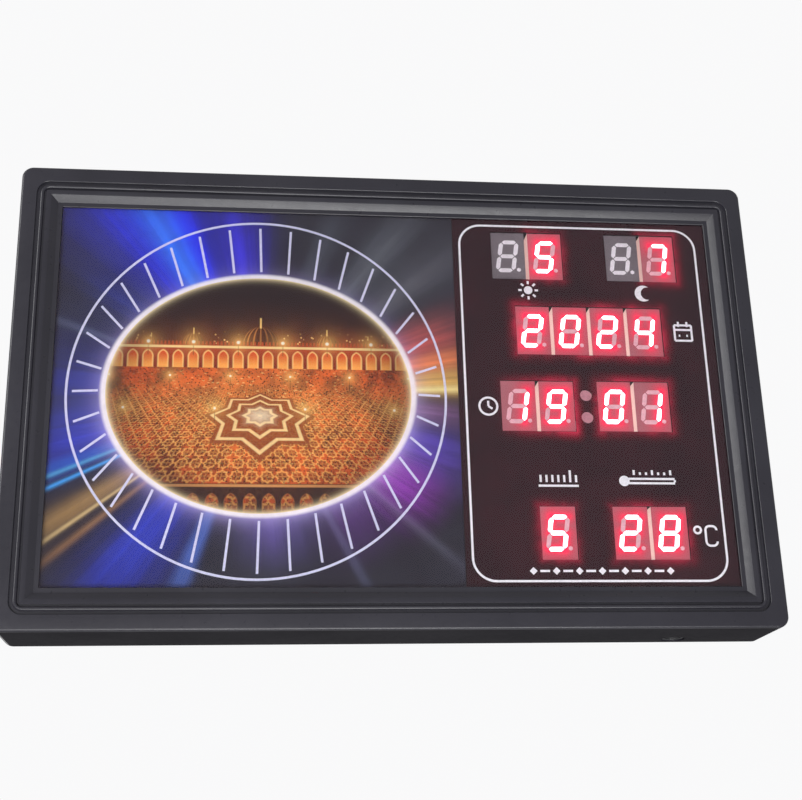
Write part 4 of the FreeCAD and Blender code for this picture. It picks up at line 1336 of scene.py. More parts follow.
    def domes(self, recipe: Recipe, colour: Socket, x: Reading, z: Reading) -> Socket:
        """Paints ribbed domes behind the arcade, the large one in the middle.

        Args:
            recipe: Recipe of the picture.
            colour: Colours below.
            x: Place across the oval.
            z: Place up the oval.

        Returns:
            The colours with the domes.
        """
        for at, radius in self.dome_sizes:
            off = (x - at) / radius
            up = (z - self.wall_top + 0.5) / (radius * 1.12)
            ribs = (off / (1.02 - up * up).most(0.05).step("SQRT")).step("ARCSINE").repeat(0.4).size()
            shell = recipe.mix(ribs.fade(0.1, 0.2), tone(90, 40, 16), tone(222, 140, 66))
            shell = recipe.mix(off.fade(-1.0, 0.9, 0.0, 0.75), shell, tone(52, 22, 12))
            colour = recipe.mix(off.span(up).fade(0.97, 1.03, 1.0, 0.0), colour, shell)
            spike = off.size().fade(0.03, 0.07, 1.0, 0.0) * up.fade(1.45, 1.5, 1.0, 0.0) * up.fade(0.9, 0.95)
            colour = recipe.mix(spike, colour, tone(255, 206, 120))
        return colour

    def sky(self, recipe: Recipe, z: Reading) -> Socket:
        """Paints the night sky, warm above the walls, with small far lights.

        Args:
            recipe: Recipe of the picture.
            z: Place up the oval.

        Returns:
            The colours of the sky.
        """
        above = (z - self.wall_top).most(0.0)
        haze = recipe.noise(recipe.place(), 0.07, 4.0, 0.6, 1.0).fade(0.3, 0.7, 0.5, 1.2)
        colour = recipe.mix(above.falloff(5.0) * haze, tone(22, 14, 16), tone(150, 74, 32))
        lights = recipe.cells(recipe.place(), 0.62).fade(0.12, 0.26, 1.0, 0.0)
        return recipe.mix(lights * above.fade(2.0, 5.5, 1.0, 0.0), colour, tone(255, 200, 120))

    def lamps(self, recipe: Recipe, colour: Socket, x: Reading, z: Reading) -> Socket:
        """Paints flaring lamps along the cornice and on two rows of posts in the court.

        Args:
            recipe: Recipe of the picture.
            colour: Colours below.
            x: Place across the oval.
            z: Place up the oval.

        Returns:
            The colours with the lamps.
        """
        for pitch, height, size, reach in self.lamp_rows:
            side = x.repeat(pitch)
            up = z - height
            apart = side.span(up)
            post = side.size().fade(0.1, 0.22, 0.6, 0.0) * up.fade(-5.0, -4.8) * up.fade(-0.2, 0.0, 1.0, 0.0)
            colour = recipe.mix(post, colour, tone(58, 26, 14))
            colour = recipe.mix(apart.falloff(reach), colour, tone(255, 190, 104), "SCREEN")
            colour = recipe.mix(apart.fade(size * 0.5, size, 1.0, 0.0), colour, tone(255, 248, 226))
        return colour

    def railing(self, recipe: Recipe, colour: Socket, x: Reading, z: Reading) -> Socket:
        """Paints a dark pierced railing in front, with a lit top rail.

        Args:
            recipe: Recipe of the picture.
            colour: Colours below.
            x: Place across the oval.
            z: Place up the oval.

        Returns:
            The colours with the railing.
        """
        below = self.rail_top - z
        side = x.repeat(self.rail_bay).size() + self.rail_shift
        opening = side.span((6.6 - below).most(0.0)) - self.rail_radius
        dark = recipe.mix(below.fade(0.0, 10.0), tone(58, 30, 20), tone(24, 14, 12))
        solid = opening.fade(-0.12, 0.12) * below.fade(-0.1, 0.1)
        colour = recipe.mix(solid * 0.94, colour, dark)
        rail = (below - 0.7).size().fade(0.35, 0.6, 1.0, 0.0)
        colour = recipe.mix(rail, colour, tone(226, 160, 96))
        trim = opening.size().fade(0.08, 0.3, 0.6, 0.0) * below.fade(0.5, 1.5)
        return recipe.mix(trim, colour, tone(190, 120, 66))

    def make(self) -> bpy.types.Material:
        """Builds the node tree.

        Returns:
            The finished material.
        """
        recipe = Recipe(self.name)
        x, z = self.oval.place(recipe)
        colour = self.domes(recipe, self.sky(recipe, z), x, z)
        colour = self.arcade(recipe, colour, x, z)
        front = z.fade(self.wall_foot - 0.1, self.wall_foot + 0.1, 1.0, 0.0)
        colour = recipe.mix(front, colour, self.court(recipe, x, z))
        colour = self.railing(recipe, self.lamps(recipe, colour, x, z), x, z)
        inward = self.oval.beyond(recipe) * -1.0
        colour = recipe.mix(inward.fade(0.0, 16.0, 0.5, 0.0), colour, tone(30, 12, 10))
        colour = recipe.mix(inward.most(0.0).falloff(0.8), colour, tone(255, 232, 180), "SCREEN")
        return printed(recipe, colour)


class Finishes:
    """Every finish of the clock that several sub-assemblies share, made once."""

    def __init__(self) -> None:
        """Makes the materials."""
        self.frame_plastic = MouldedPlastic(
            "frame_plastic", tone(28, 27, 33), 0.30, 0.9, 0.01, gloss=0.23
        ).make()
        # A darker, duller copy of the frame plastic for the outer side walls: painted shade.
        self.shaded_frame_side = MouldedPlastic(
            "frame_side_painted_shade", tone(24, 23, 26), 0.7, 1.6, 0.02, gloss=0.02
        ).make()
        self.cover_plastic = MouldedPlastic("cover_plastic", tone(42, 41, 44), 0.52, 1.5, 0.05).make()
        self.black_plastic = MouldedPlastic("black_plastic", tone(30, 30, 32), 0.45, 2.0, 0.02).make()
        self.chip_plastic = MouldedPlastic("chip_plastic", tone(38, 38, 40), 0.5, 2.5, 0.02).make()
        self.button_rubber = MouldedPlastic("button_rubber", tone(150, 150, 152), 0.62, 1.8, 0.02).make()
        self.cone_paper = MouldedPlastic("cone_paper", tone(52, 51, 50), 0.85, 0.9, 0.12).make()
        self.ferrite = MouldedPlastic("ferrite", tone(70, 69, 68), 0.7, 1.1, 0.05).make()
        self.pressed_steel = PlatedMetal("pressed_steel", (0.10, 0.10, 0.10), 0.45).make()
        self.screw_steel = PlatedMetal("screw_steel", (0.58, 0.57, 0.54)).make()
        self.bright_metal = PlatedMetal("bright_metal", (0.72, 0.72, 0.70), 0.22).make()
        self.clear_pane = ClearPane().make()
        self.solder_mask = SolderMask().make()
        # White ink with a faint painted glow.
        self.white_ink = ScreenInk("white_ink", tone(236, 232, 240), 0.2).make()
        self.dial_ink = ScreenInk("dial_ink", tone(224, 222, 250)).make()


# ------------------------------------------------------------------------------------ front frame
@dataclass
class FrameMoulding:
    """Picture-frame moulding: rounded rim, channel with its bead, step, bevel and lip."""

    finishes: Finishes
    outer_radius: float = 4.0
    rim_round: float = 0.9
    channel_inset: float = 5.6
    channel_end: float = 8.9
    channel_depth: float = 0.95
    channel_radius: float = 4.5
    bead_inset: float = 7.45
    bead_width: float = 1.5
    step_depth: float = 0.15
    bevel_inset: float = 10.7
    bevel_end: float = 13.0
    lip_depth: float = 2.0
    opening_inset: float = 14.6
    wall: float = 2.2
    edge_round: float = 0.14
    corner_steps: int = 14
    inlet_x: float = 98.0
    inlet_y: float = -7.9
    inlet_radius: float = 4.3
    inlet_steps: int = 48
    side_lean: float = 0.1
    side_share: float = 0.4985

    def profile(self) -> list[Place]:
        """Section of the whole moulding, from the rear edge over the front to the inside.

        Returns:
            Rows of inset, depth behind the front and corner radius.
        """
        rear = COVER_FRONT_Y - FRONT_Y
        glass = GLASS_FRONT_Y - FRONT_Y
        square = SQUARE_CORNER
        rows = [(0.0, rear, self.outer_radius), (0.0, self.rim_round, self.outer_radius)]
        for inset, depth in arc(self.rim_round, (self.rim_round, self.rim_round), 180.0, 270.0, 6)[1:]:
            rows.append((inset, depth, self.outer_radius - inset))
        rows += self.bead_rows()
        small = self.edge_round
        rows += [
            (self.channel_end, self.channel_depth, square),
            (self.channel_end, self.step_depth + small, square),
            (self.channel_end + small, self.step_depth, square),
            (self.bevel_inset - small, self.step_depth, square),
            (self.bevel_inset + small, self.step_depth + small, square),
            (self.bevel_end, self.lip_depth, square),
            (self.opening_inset - small, self.lip_depth, square),
            (self.opening_inset, self.lip_depth + small, square),
            (self.opening_inset, glass, square),
            (self.wall, glass, square),
            (self.wall, rear, square),
        ]
        return rows

    def bead_rows(self) -> list[Place]:
        """Section of the channel's outer wall, its floor and the arched bead.

        Returns:
            Rows of inset, depth behind the front and corner radius.
        """
        small = self.edge_round
        half = self.bead_width / 2.0
        floor = self.channel_depth
        bead_radius = self.channel_radius - (self.bead_inset - self.channel_inset)
        rows = [
            (self.channel_inset - small, 0.0, self.channel_radius + small),
            (self.channel_inset, small, self.channel_radius),
            (self.channel_inset + SQUARE_CORNER, floor, self.channel_radius),
            (self.bead_inset - half, floor, bead_radius + half),
        ]
        for offset, depth in arc(half, (0.0, half), 180.0, 360.0, 12):
            rows.append((self.bead_inset + offset, depth, bead_radius - offset))
        rows.append((self.bead_inset + half, floor, bead_radius - half))
        return rows

    def build(self) -> None:
        """Sweeps the section round the clock and cuts the hole of the power inlet."""
        rows = self.profile()
        points: list[Place] = []
        for inset, depth, radius in rows:
            ring = rounded_outline(WIDTH - 2 * inset, HEIGHT - 2 * inset, radius, self.corner_steps)
            points += [(x, FRONT_Y + depth, z) for x, z in ring]
        count = 4 * (self.corner_steps + 1)
        faces = loops_to_faces(count, len(rows), closed=True)
        made = piece("frame_moulding", points, faces, self.finishes.frame_plastic, sharp=40.0)
        ring = circle(self.inlet_radius, self.inlet_steps, self.inlet_x, self.inlet_y)
        low, high = -HEIGHT / 2.0 - self.wall, -HEIGHT / 2.0 + 2.0 * self.wall
        cut(made, [(x, y, z) for z in (low, high) for x, y in ring], solid_faces(self.inlet_steps))
        # The outer side walls take the darker, duller copy of the frame plastic: painted shade.
        made.data.materials.append(self.finishes.shaded_frame_side)
        for face in made.data.polygons:
            outermost = max(abs(face.center.x) / WIDTH, abs(face.center.z) / HEIGHT) / MM
            upright = abs(face.normal.y) < self.side_lean
            face.material_index = int(upright and outermost > self.side_share)
        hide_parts("front_frame")


# ------------------------------------------------------------------------------------ dial
def sheet_outline(low: Place, high: Place) -> list[Point]:
    """Outline of the film that takes the place of a CAD sheet.

    Args:
        low: Lowest corner of the sheet, metres.
        high: Its highest corner.

    Returns:
        The (x, z) points, millimetres.
    """
    centre_x = (low[0] + high[0]) / 2.0 / MM
    return rounded_outline((high[0] - low[0]) / MM, (high[2] - low[2]) / MM, SQUARE_CORNER, 1, centre_x)


@dataclass
class DialPrint:
    """Printed sheet behind the left of the glass, with its oval picture, circle and ticks."""

    finishes: Finishes
    oval: Oval = Oval()
    circle_x: float = -47.6
    circle_z: float = -0.1
    circle_radius: float = 65.7
    line: float = 0.85
    ticks: int = 36
    tick_start: float = 2.5
    tick_end: float = 2.0
    steps: int = 120
    ink_front: float = -25.27
    ink_back: float = -25.25
    picture_back: float = -25.244

    def build(self) -> None:
        """Makes the sheet, the picture and the scale."""
        low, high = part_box("picture_print")
        artwork = DialArtwork(self.oval).make()
        sheet = plate("dial_sheet", sheet_outline(low, high), SHEET_FRONT_Y, SHEET_BACK_Y, artwork)
        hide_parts("picture_print")
        picture = CourtyardPicture(self.oval).make()
        plate("oval_picture", self.ellipse(0.0, self.steps), self.ink_back, self.picture_back, picture)
        self.scale()

    def ellipse(self, beyond: float, steps: int) -> list[Point]:
        """Points round the oval, or round a curve outside it.

        Args:
            beyond: How far outside the oval the curve runs.
            steps: Number of points.

        Returns:
            The (x, z) points.
        """
        wide, tall = self.oval.half_x + beyond, self.oval.half_z + beyond
        return [(self.oval.x + wide * x, self.oval.z + tall * z) for x, z in circle(1.0, steps)]

    def scale(self) -> None:
        """Makes the circle and the ticks between it and the oval."""
        ink = self.finishes.dial_ink
        outer = circle(self.circle_radius + self.line / 2.0, self.steps, self.circle_x, self.circle_z)
        inner = circle(self.circle_radius - self.line / 2.0, self.steps, self.circle_x, self.circle_z)
        band("dial_circle", outer, inner, self.ink_front, self.ink_back, ink)
        starts = self.ellipse(self.tick_start, self.ticks)
        ends = circle(self.circle_radius - self.tick_end, self.ticks, self.circle_x, self.circle_z)
        strokes("dial_ticks", list(zip(starts, ends)), self.line, self.ink_front, self.ink_back, ink)


# ------------------------------------------------------------------------------------ display
class Sign(Enum):
    """Small signs printed beside the fields, with their places."""

    DAY = (50.1, 41.6)
    MONTH = (93.3, 41.3)
    YEAR = (107.0, 25.8)
    TIME = (33.2, -3.6)
    WEEK = (56.7, -30.1)
    TEMPERATURE = (88.9, -30.0)


@dataclass
class WindowPrint:
    """Smoked sheet in front of the digits, with its white outline and signs."""

    finishes: Finishes
    outline_low: Point = (25.3, -66.4)
    outline_high: Point = (114.6, 67.4)
    outline_radius: float = 8.0
    outline_line: float = 0.8
    outline_steps: int = 12
    sign_line: float = 0.8
    sign_size: float = 3.2
    ink_front: float = -25.28
    ink_back: float = -25.255
    hole_radius: float = 2.15
    hole_shift: float = 0.2
    unit_place: Point = (109.8, -50.5)
    unit_half: Point = (2.0, 3.5)
    unit_corner: float = 1.5
    footer_z: float = -62.9
    footer_low: float = 46.0
    footer_pitch: float = 4.0
    footer_count: int = 13
    dash_half: float = 1.7
    diamond_radius: float = 1.35
    degree_shift: Point = (-2.8, 2.1)
    degree_radius: float = 1.2
    moon_tip: float = 50.0
    bar_pitch: float = 2.1
    bar_foot: float = -1.3
    bar_top: float = 1.3
    tall_bar_top: float = 3.0
    tube_low: Point = (-7.0, -1.6)
    tube_high: Point = (9.6, 0.0)
    bulb_radius: float = 1.9
    bulb_shift: Point = (-8.6, -0.8)
    mark_pitch: float = 2.2
    ring_steps: int = 40
    disc_steps: int = 32

    def build(self) -> None:
        """Makes the sheet and everything printed on it."""
        self.sheet()
        low, high = self.outline_low, self.outline_high
        centre = ((low[0] + high[0]) / 2.0, (low[1] + high[1]) / 2.0)
        width, height = high[0] - low[0], high[1] - low[1]
        rings = []
        for grow in (self.outline_line, -self.outline_line):
            size = (width + grow, height + grow, self.outline_radius + grow / 2.0)
            rings.append(rounded_outline(*size, self.outline_steps, *centre))
        band("window_outline", *rings, self.ink_front, self.ink_back, self.finishes.white_ink)
        self.sun()
        self.moon()
        self.calendar()
        self.dial()
        self.week()
        self.thermometer()
        self.unit()
        self.footer()

    def sheet(self) -> None:
        """Makes the masked film with a window over every field and lamp."""
        windows = []
        for field in FIELD_FIGURES:
            low_x, high_x, low_z, high_z = field_box(field)
            shift_x, shift_z = WINDOW_SHIFT
            windows.append((low_x + shift_x, high_x + shift_x, low_z + shift_z, high_z + shift_z))
        low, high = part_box("colon_leds")
        lamp_x = (low[0] + high[0]) / 2.0 / MM - self.hole_shift
        radius = (high[0] - low[0]) / 2.0 / MM
        heights = (low[2] / MM + radius - self.hole_shift, high[2] / MM - radius - self.hole_shift)
        lamps = tuple(((lamp_x, z), self.hole_radius) for z in heights)
        low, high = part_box("window_film")
        film = MaskedFilm(tuple(windows), lamps).make()
        made = plate("window_sheet", sheet_outline(low, high), SHEET_FRONT_Y, SHEET_BACK_Y, film)
        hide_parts("window_film")

    def fill(self, name: str, outline: list[Point]) -> None:
        """Prints one filled form."""
        plate(name, outline, self.ink_front, self.ink_back, self.finishes.white_ink)

    def draw(self, name: str, lines: list[Stroke], place: Point = (0.0, 0.0)) -> None:
        """Prints straight strokes as one piece.

        Args:
            name: Name of the piece.
            lines: Start and end of each stroke, from the place.
            place: Where they are printed.
        """
        x, z = place
        placed = [((x + x0, z + z0), (x + x1, z + z1)) for (x0, z0), (x1, z1) in lines]
        strokes(name, placed, self.sign_line, self.ink_front, self.ink_back, self.finishes.white_ink)

    def ring(self, name: str, place: Point, radius: float) -> None:
        """Prints one small circle.

        Args:
            name: Name of the piece.
            place: Its middle.
            radius: Radius of the middle of its line.
        """
        half = self.sign_line / 2.0
        outer = circle(radius + half, self.ring_steps, *place)
        inner = circle(radius - half, self.ring_steps, *place)
        band(name, outer, inner, self.ink_front, self.ink_back, self.finishes.white_ink)

    def sun(self) -> None:
        """Prints a sun: a disc and eight rays."""
        size = self.sign_size
        self.fill("day_sign_disc", circle(size * 0.5, self.disc_steps, *Sign.DAY.value))
        rays = []
        for x, z in circle(1.0, 8):
            rays.append(((x * size * 0.75, z * size * 0.75), (x * size * 1.15, z * size * 1.15)))
        self.draw("day_sign", rays, Sign.DAY.value)

    def moon(self) -> None:
        """Prints a crescent: two arcs that meet at its tips."""
        x, z = Sign.MONTH.value
        size = self.sign_size
        tip = math.radians(self.moon_tip)
        tip_x, tip_z = size * math.cos(tip), size * math.sin(tip)
        offset = size * 0.5
        inner_radius = math.hypot(tip_x - offset, tip_z)
        lean = math.degrees(math.atan2(tip_z, tip_x - offset))
        outer = arc(size, (x, z), self.moon_tip, 360.0 - self.moon_tip, 28)
        inner = arc(inner_radius, (x + offset, z), 360.0 - lean, lean, 28)[1:-1]
        self.fill("month_sign", outer + inner)

    def calendar(self) -> None:
        """Prints a calendar leaf: a frame, its head and two rings."""
        wide, tall = self.sign_size, self.sign_size * 0.95
        corners = [(-wide, -tall), (wide, -tall), (wide, tall), (-wide, tall)]
        lines = [(corners[index], corners[(index + 1) % 4]) for index in range(4)]
        lines.append(((-wide, tall * 0.4), (wide, tall * 0.4)))
        lines += [((side, tall * 0.8), (side, tall * 1.45)) for side in (-wide * 0.5, wide * 0.5)]
        for side in (-wide * 0.45, wide * 0.45):
            lines.append(((side - 0.3, -tall * 0.35), (side + 0.3, -tall * 0.35)))
        self.draw("year_sign", lines, Sign.YEAR.value)

    def dial(self) -> None:
        """Prints a clock face with two hands."""
        size = self.sign_size
        self.ring("time_sign_ring", Sign.TIME.value, size)
        hands = [((0.0, 0.0), (0.0, size * 0.62)), ((0.0, 0.0), (size * 0.45, -size * 0.3))]
        self.draw("time_sign", hands, Sign.TIME.value)

    def week(self) -> None:
        """Prints seven upright bars, one taller, over a base line."""
        pitch = self.bar_pitch
        lines = [((-3.4 * pitch, -2.6), (3.4 * pitch, -2.6))]
        for index in range(7):
            x = (index - 3) * pitch
            top = self.tall_bar_top if index == 5 else self.bar_top
            lines.append(((x, self.bar_foot), (x, top)))
        self.draw("week_sign", lines, Sign.WEEK.value)

    def thermometer(self) -> None:
        """Prints a lying thermometer with its bulb and marks."""
        x, z = Sign.TEMPERATURE.value
        off_x, off_z = self.bulb_shift
        bulb = circle(self.bulb_radius, self.disc_steps, x + off_x, z + off_z)
        self.fill("temperature_sign_bulb", bulb)
        (start, low), (end, high) = self.tube_low, self.tube_high
        half = self.sign_line / 2.0
        lines = [((start, low), (end, low)), ((start, high), (end, high))]
        lines.append(((end, low + half), (end, high - half)))
        for index in range(7):
            mark = -5.0 + self.mark_pitch * index
            lines.append(((mark, 1.4), (mark, 3.2 if index % 3 == 0 else 2.4)))
        self.draw("temperature_sign", lines, Sign.TEMPERATURE.value)

    def unit(self) -> None:
        """Prints the degree ring and the C of the temperature's unit."""
        x, z = self.unit_place
        wide, tall = self.unit_half
        corner = self.unit_corner
        ring_x, ring_z = self.degree_shift
        self.ring("degree_ring", (x - wide + ring_x, z + ring_z), self.degree_radius)
        half = self.sign_line / 2.0
        rings = []
        for grow in (half, -half):
            run: list[Point] = []
            for quarter, (side, up) in enumerate(((1, 1), (-1, 1), (-1, -1), (1, -1))):
                centre = (x + side * (wide - corner), z + up * (tall - corner))
                run += arc(corner + grow, centre, 90.0 * quarter, 90.0 * quarter + 90.0, 6)
            rings.append(run)
        self.fill("unit_letter", rings[0] + rings[1][::-1])

    def footer(self) -> None:
        """Prints a row of small diamonds and dashes under the fields."""
        z = self.footer_z
        dashes = []
        for index in range(self.footer_count):
            x = self.footer_low + index * self.footer_pitch
            if index % 2:
                dashes.append(((x - self.dash_half, z), (x + self.dash_half, z)))
            else:
                self.fill(f"footer_diamond_{index}", circle(self.diamond_radius, 4, x, z))
        self.draw("footer_dashes", dashes)


# What each field shows; _ is a digit that stays dark.
FIELD_FIGURES = {
    "day": "_5",
    "month": "_7",
    "year": "2024",
    "hour": "19",
    "minute": "01",
    "week": "5",
    "temperature": "28",
}
FIELD_RANKS = {1: ("digit",), 2: ("tens", "units"), 4: ("thousands", "hundreds", "tens", "units")}

# How far the windows of the film sit from their fields, and how strong the stray light is at the
# left and right end of the fields that differ from the rest.
WINDOW_SHIFT = (-0.18, -0.26)
STRAY_STRENGTH = {"hour": (0.04, 0.56), "minute": (0.50, 0.26), "year": (0.40, 0.40)}

# Segments that are lit in each figure.
LIT_STROKES = {
    "0": "abcdef",
    "1": "bc",
    "2": "abdeg",
    "4": "bcfg",
    "5": "acdfg",
    "7": "abc",
    "8": "abcdefg",
    "9": "abcdfg",
}


def field_modules(field: str) -> list[tuple[str, str]]:
    """Node name and figure of every digit in a field, from left to right."""
    figures = FIELD_FIGURES[field]
    return [(f"{field}_{rank}_module", figure) for rank, figure in zip(FIELD_RANKS[len(figures)], figures)]


def field_box(field: str, lit_only: bool = False) -> Extent:
    """Extent of a field's digit bodies.

    Args:
        field: Name of the field.
        lit_only: True leaves out digits that show nothing.

    Returns:
        Lowest and highest x, then lowest and highest z, millimetres.
    """
    boxes = [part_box(node) for node, figure in field_modules(field) if figure != "_" or not lit_only]
    low_x = min(box[0][0] for box in boxes) / MM
    high_x = max(box[1][0] for box in boxes) / MM
    return low_x, high_x, boxes[0][0][2] / MM, boxes[0][1][2] / MM


@dataclass
class LedCalendar:
    """Fifteen digit bodies with their light wells, the colon and the light that strays round them."""

    finishes: Finishes
    half_width: float = 2.9
    half_height: float = 5.7
    slant: float = 9.0
    shift: float = -0.25
    stray_reach: float = 5.5
    stray_steps: int = 8
    stray_start: float = 0.16
    stray_strength: Point = (0.28, 0.28)
    stray_y: float = -25.25
    stray_gap: float = 0.0005
    lit_face: Colour = tone(120, 112, 116)
    unlit_light: Colour = (0.50, 0.18, 0.22)
    lamp_light: Colour = (0.54, 0.25, 0.30)
    lamp_radius: float = 2.4
    lamp_flange: float = 2.8
    flange_height: float = 1.0
    lamp_crown: float = 0.7

    def stroke(self, name: str) -> Stroke:
        """Middle line of one segment, slanted with its digit.

        Args:
            name: Letter of the segment, a to g.

        Returns:
            Its start and end.
        """
        wide, tall = self.half_width, self.half_height
        ends = {
            "a": ((-wide, tall), (wide, tall)),
            "b": ((wide, tall), (wide, 0.0)),
            "c": ((wide, 0.0), (wide, -tall)),
            "d": ((-wide, -tall), (wide, -tall)),
            "e": ((-wide, 0.0), (-wide, -tall)),
            "f": ((-wide, tall), (-wide, 0.0)),
            "g": ((-wide, 0.0), (wide, 0.0)),
        }
        lean = math.tan(math.radians(self.slant))
        start, end = [(x + self.shift + z * lean, z) for x, z in ends[name]]
        return start, end

    def build(self) -> None:
        """Dresses the digits and adds the stray light."""
        dark = DigitHousing("dark_housing").make()
        lit = MilkyWell("lit_well", tone(255, 225, 230), (1.0, 0.90, 0.93), 3.4).make()
        dark_places = []
        for field in FIELD_FIGURES:
            for node, figure in field_modules(field):
                low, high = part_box(node)
                centre = ((low[0] + high[0]) / 2.0 / MM, (low[2] + high[2]) / 2.0 / MM)
                if figure == "_":
                    dark_places.append(centre)
                    dress(node, dark)
                    continue
                lines = tuple(self.stroke(name) for name in LIT_STROKES[figure])
                name = node.replace("_module", "_housing")
                dress(node, DigitHousing(name, lines, centre, face=self.lit_face).make())
            dress(f"{field}_lit_segments", lit)
        self.stray_light()
        unlit = MilkyWell("unlit_well", tone(210, 186, 192), self.unlit_light, 1.0, tuple(dark_places))
        dress("unlit_segments", unlit.make())
        self.colon()

    def stray_light(self) -> None:
        """Adds a fading border round the lit digits of every field."""
        glow = StrayLight().make()
        for index, field in enumerate(FIELD_FIGURES):
            low_x, high_x, low_z, high_z = field_box(field, lit_only=True)
            centre = ((low_x + high_x) / 2.0 + WINDOW_SHIFT[0], (low_z + high_z) / 2.0 + WINDOW_SHIFT[1])
            size = (high_x - low_x + self.stray_start, high_z - low_z + self.stray_start)
            left, right = STRAY_STRENGTH.get(field, self.stray_strength)
            y = self.stray_y - index * self.stray_gap
            points: list[Place] = []
            shares = []
            for ring in range(self.stray_steps + 1):
                share = ring / self.stray_steps
                grow = share * self.stray_reach
                wide, tall = size[0] + 2 * grow, size[1] + 2 * grow
                outline = rounded_outline(wide, tall, grow + SQUARE_CORNER, 6, *centre)
                points += [(x, y, z) for x, z in outline]
                shares += [share] * len(outline)
            faces = loops_to_faces(len(points) // (self.stray_steps + 1), self.stray_steps + 1)
            faces = [face for face in faces if not self.over_digits(field, [points[at] for at in face])]
            made = piece(f"{field}_stray_light", points, faces, glow)
            layer = made.data.uv_layers.new(name="outward")
            for loop in made.data.loops:
                across = (points[loop.vertex_index][0] - low_x) / (high_x - low_x)
                strength = left + (right - left) * min(1.0, max(0.0, across))
                layer.data[loop.index].uv = (strength, shares[loop.vertex_index])

    def over_digits(self, field: str, corners: list[Place]) -> bool:
        """Tells whether the middle of a face lies over the digits of its field.

        Args:
            field: Name of the field.
            corners: Corners of the face.

        Returns:
            True where it lies over them.
        """
        x, _, z = (sum(values) / len(corners) for values in zip(*corners))
        low_x, high_x, low_z, high_z = field_box(field)
        return low_x < x < high_x and low_z < z < high_z

    def colon(self) -> None:
        """Makes the colon's two lamps with low crowned tops."""
        low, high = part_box("colon_leds")
        x = (low[0] + high[0]) / 2.0 / MM
        reach = self.lamp_flange
        places = [(x, low[2] / MM + reach), (x, high[2] / MM - reach)]
        flange_top = BOARD_FRONT_Y - self.flange_height
        profile = [(reach, BOARD_FRONT_Y), (reach, flange_top), (self.lamp_radius, flange_top)]
        for radius, rise in arc(1.0, (0.0, 0.0), 0.0, 90.0, 9):
            profile.append((self.lamp_radius * radius, DIGIT_Y + self.lamp_crown * (1.0 - rise)))
        epoxy = MilkyWell("led_epoxy", tone(196, 168, 176), self.lamp_light, 1.0).make()
        made = turned("colon_lamps", profile, places, epoxy)
        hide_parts("colon_leds")


@dataclass
class Glazing:
    """The clear pane and the tabs that hold it."""

    finishes: Finishes

    def build(self) -> None:
        """Dresses the glass and its tabs."""
        dress("front_glass", self.finishes.clear_pane)
        dress("glass_clips", self.finishes.black_plastic)


@dataclass
class Inside:
    """The board with its parts, and the speaker."""

    finishes: Finishes

    def build(self) -> None:
        """Dresses the pieces behind the display."""
        dress("main_board", self.finishes.solder_mask)
        for node in (
            "controller_chip",
            "driver_chips",
            "amplifier_chip",
            "voltage_regulator",
            "temperature_sensor",
        ):
            dress(node, self.finishes.chip_plastic, 0.1)
        for node in ("crystal_can", "filter_capacitors", "coin_cell"):
            dress(node, self.finishes.bright_metal, 0.2)
        for node in ("coin_cell_holder", "dc_jack", "tact_switches"):
            dress(node, self.finishes.black_plastic, 0.12)
        for button in BUTTONS:
            dress(f"{button}_plunger", self.finishes.black_plastic)
        dress("speaker_basket", self.finishes.pressed_steel)
        dress("speaker_cone", self.finishes.cone_paper)
        dress("speaker_magnet", self.finishes.ferrite, 0.3)
        for node in ("board_screws", "speaker_screws"):
            dress(node, self.finishes.screw_steel)


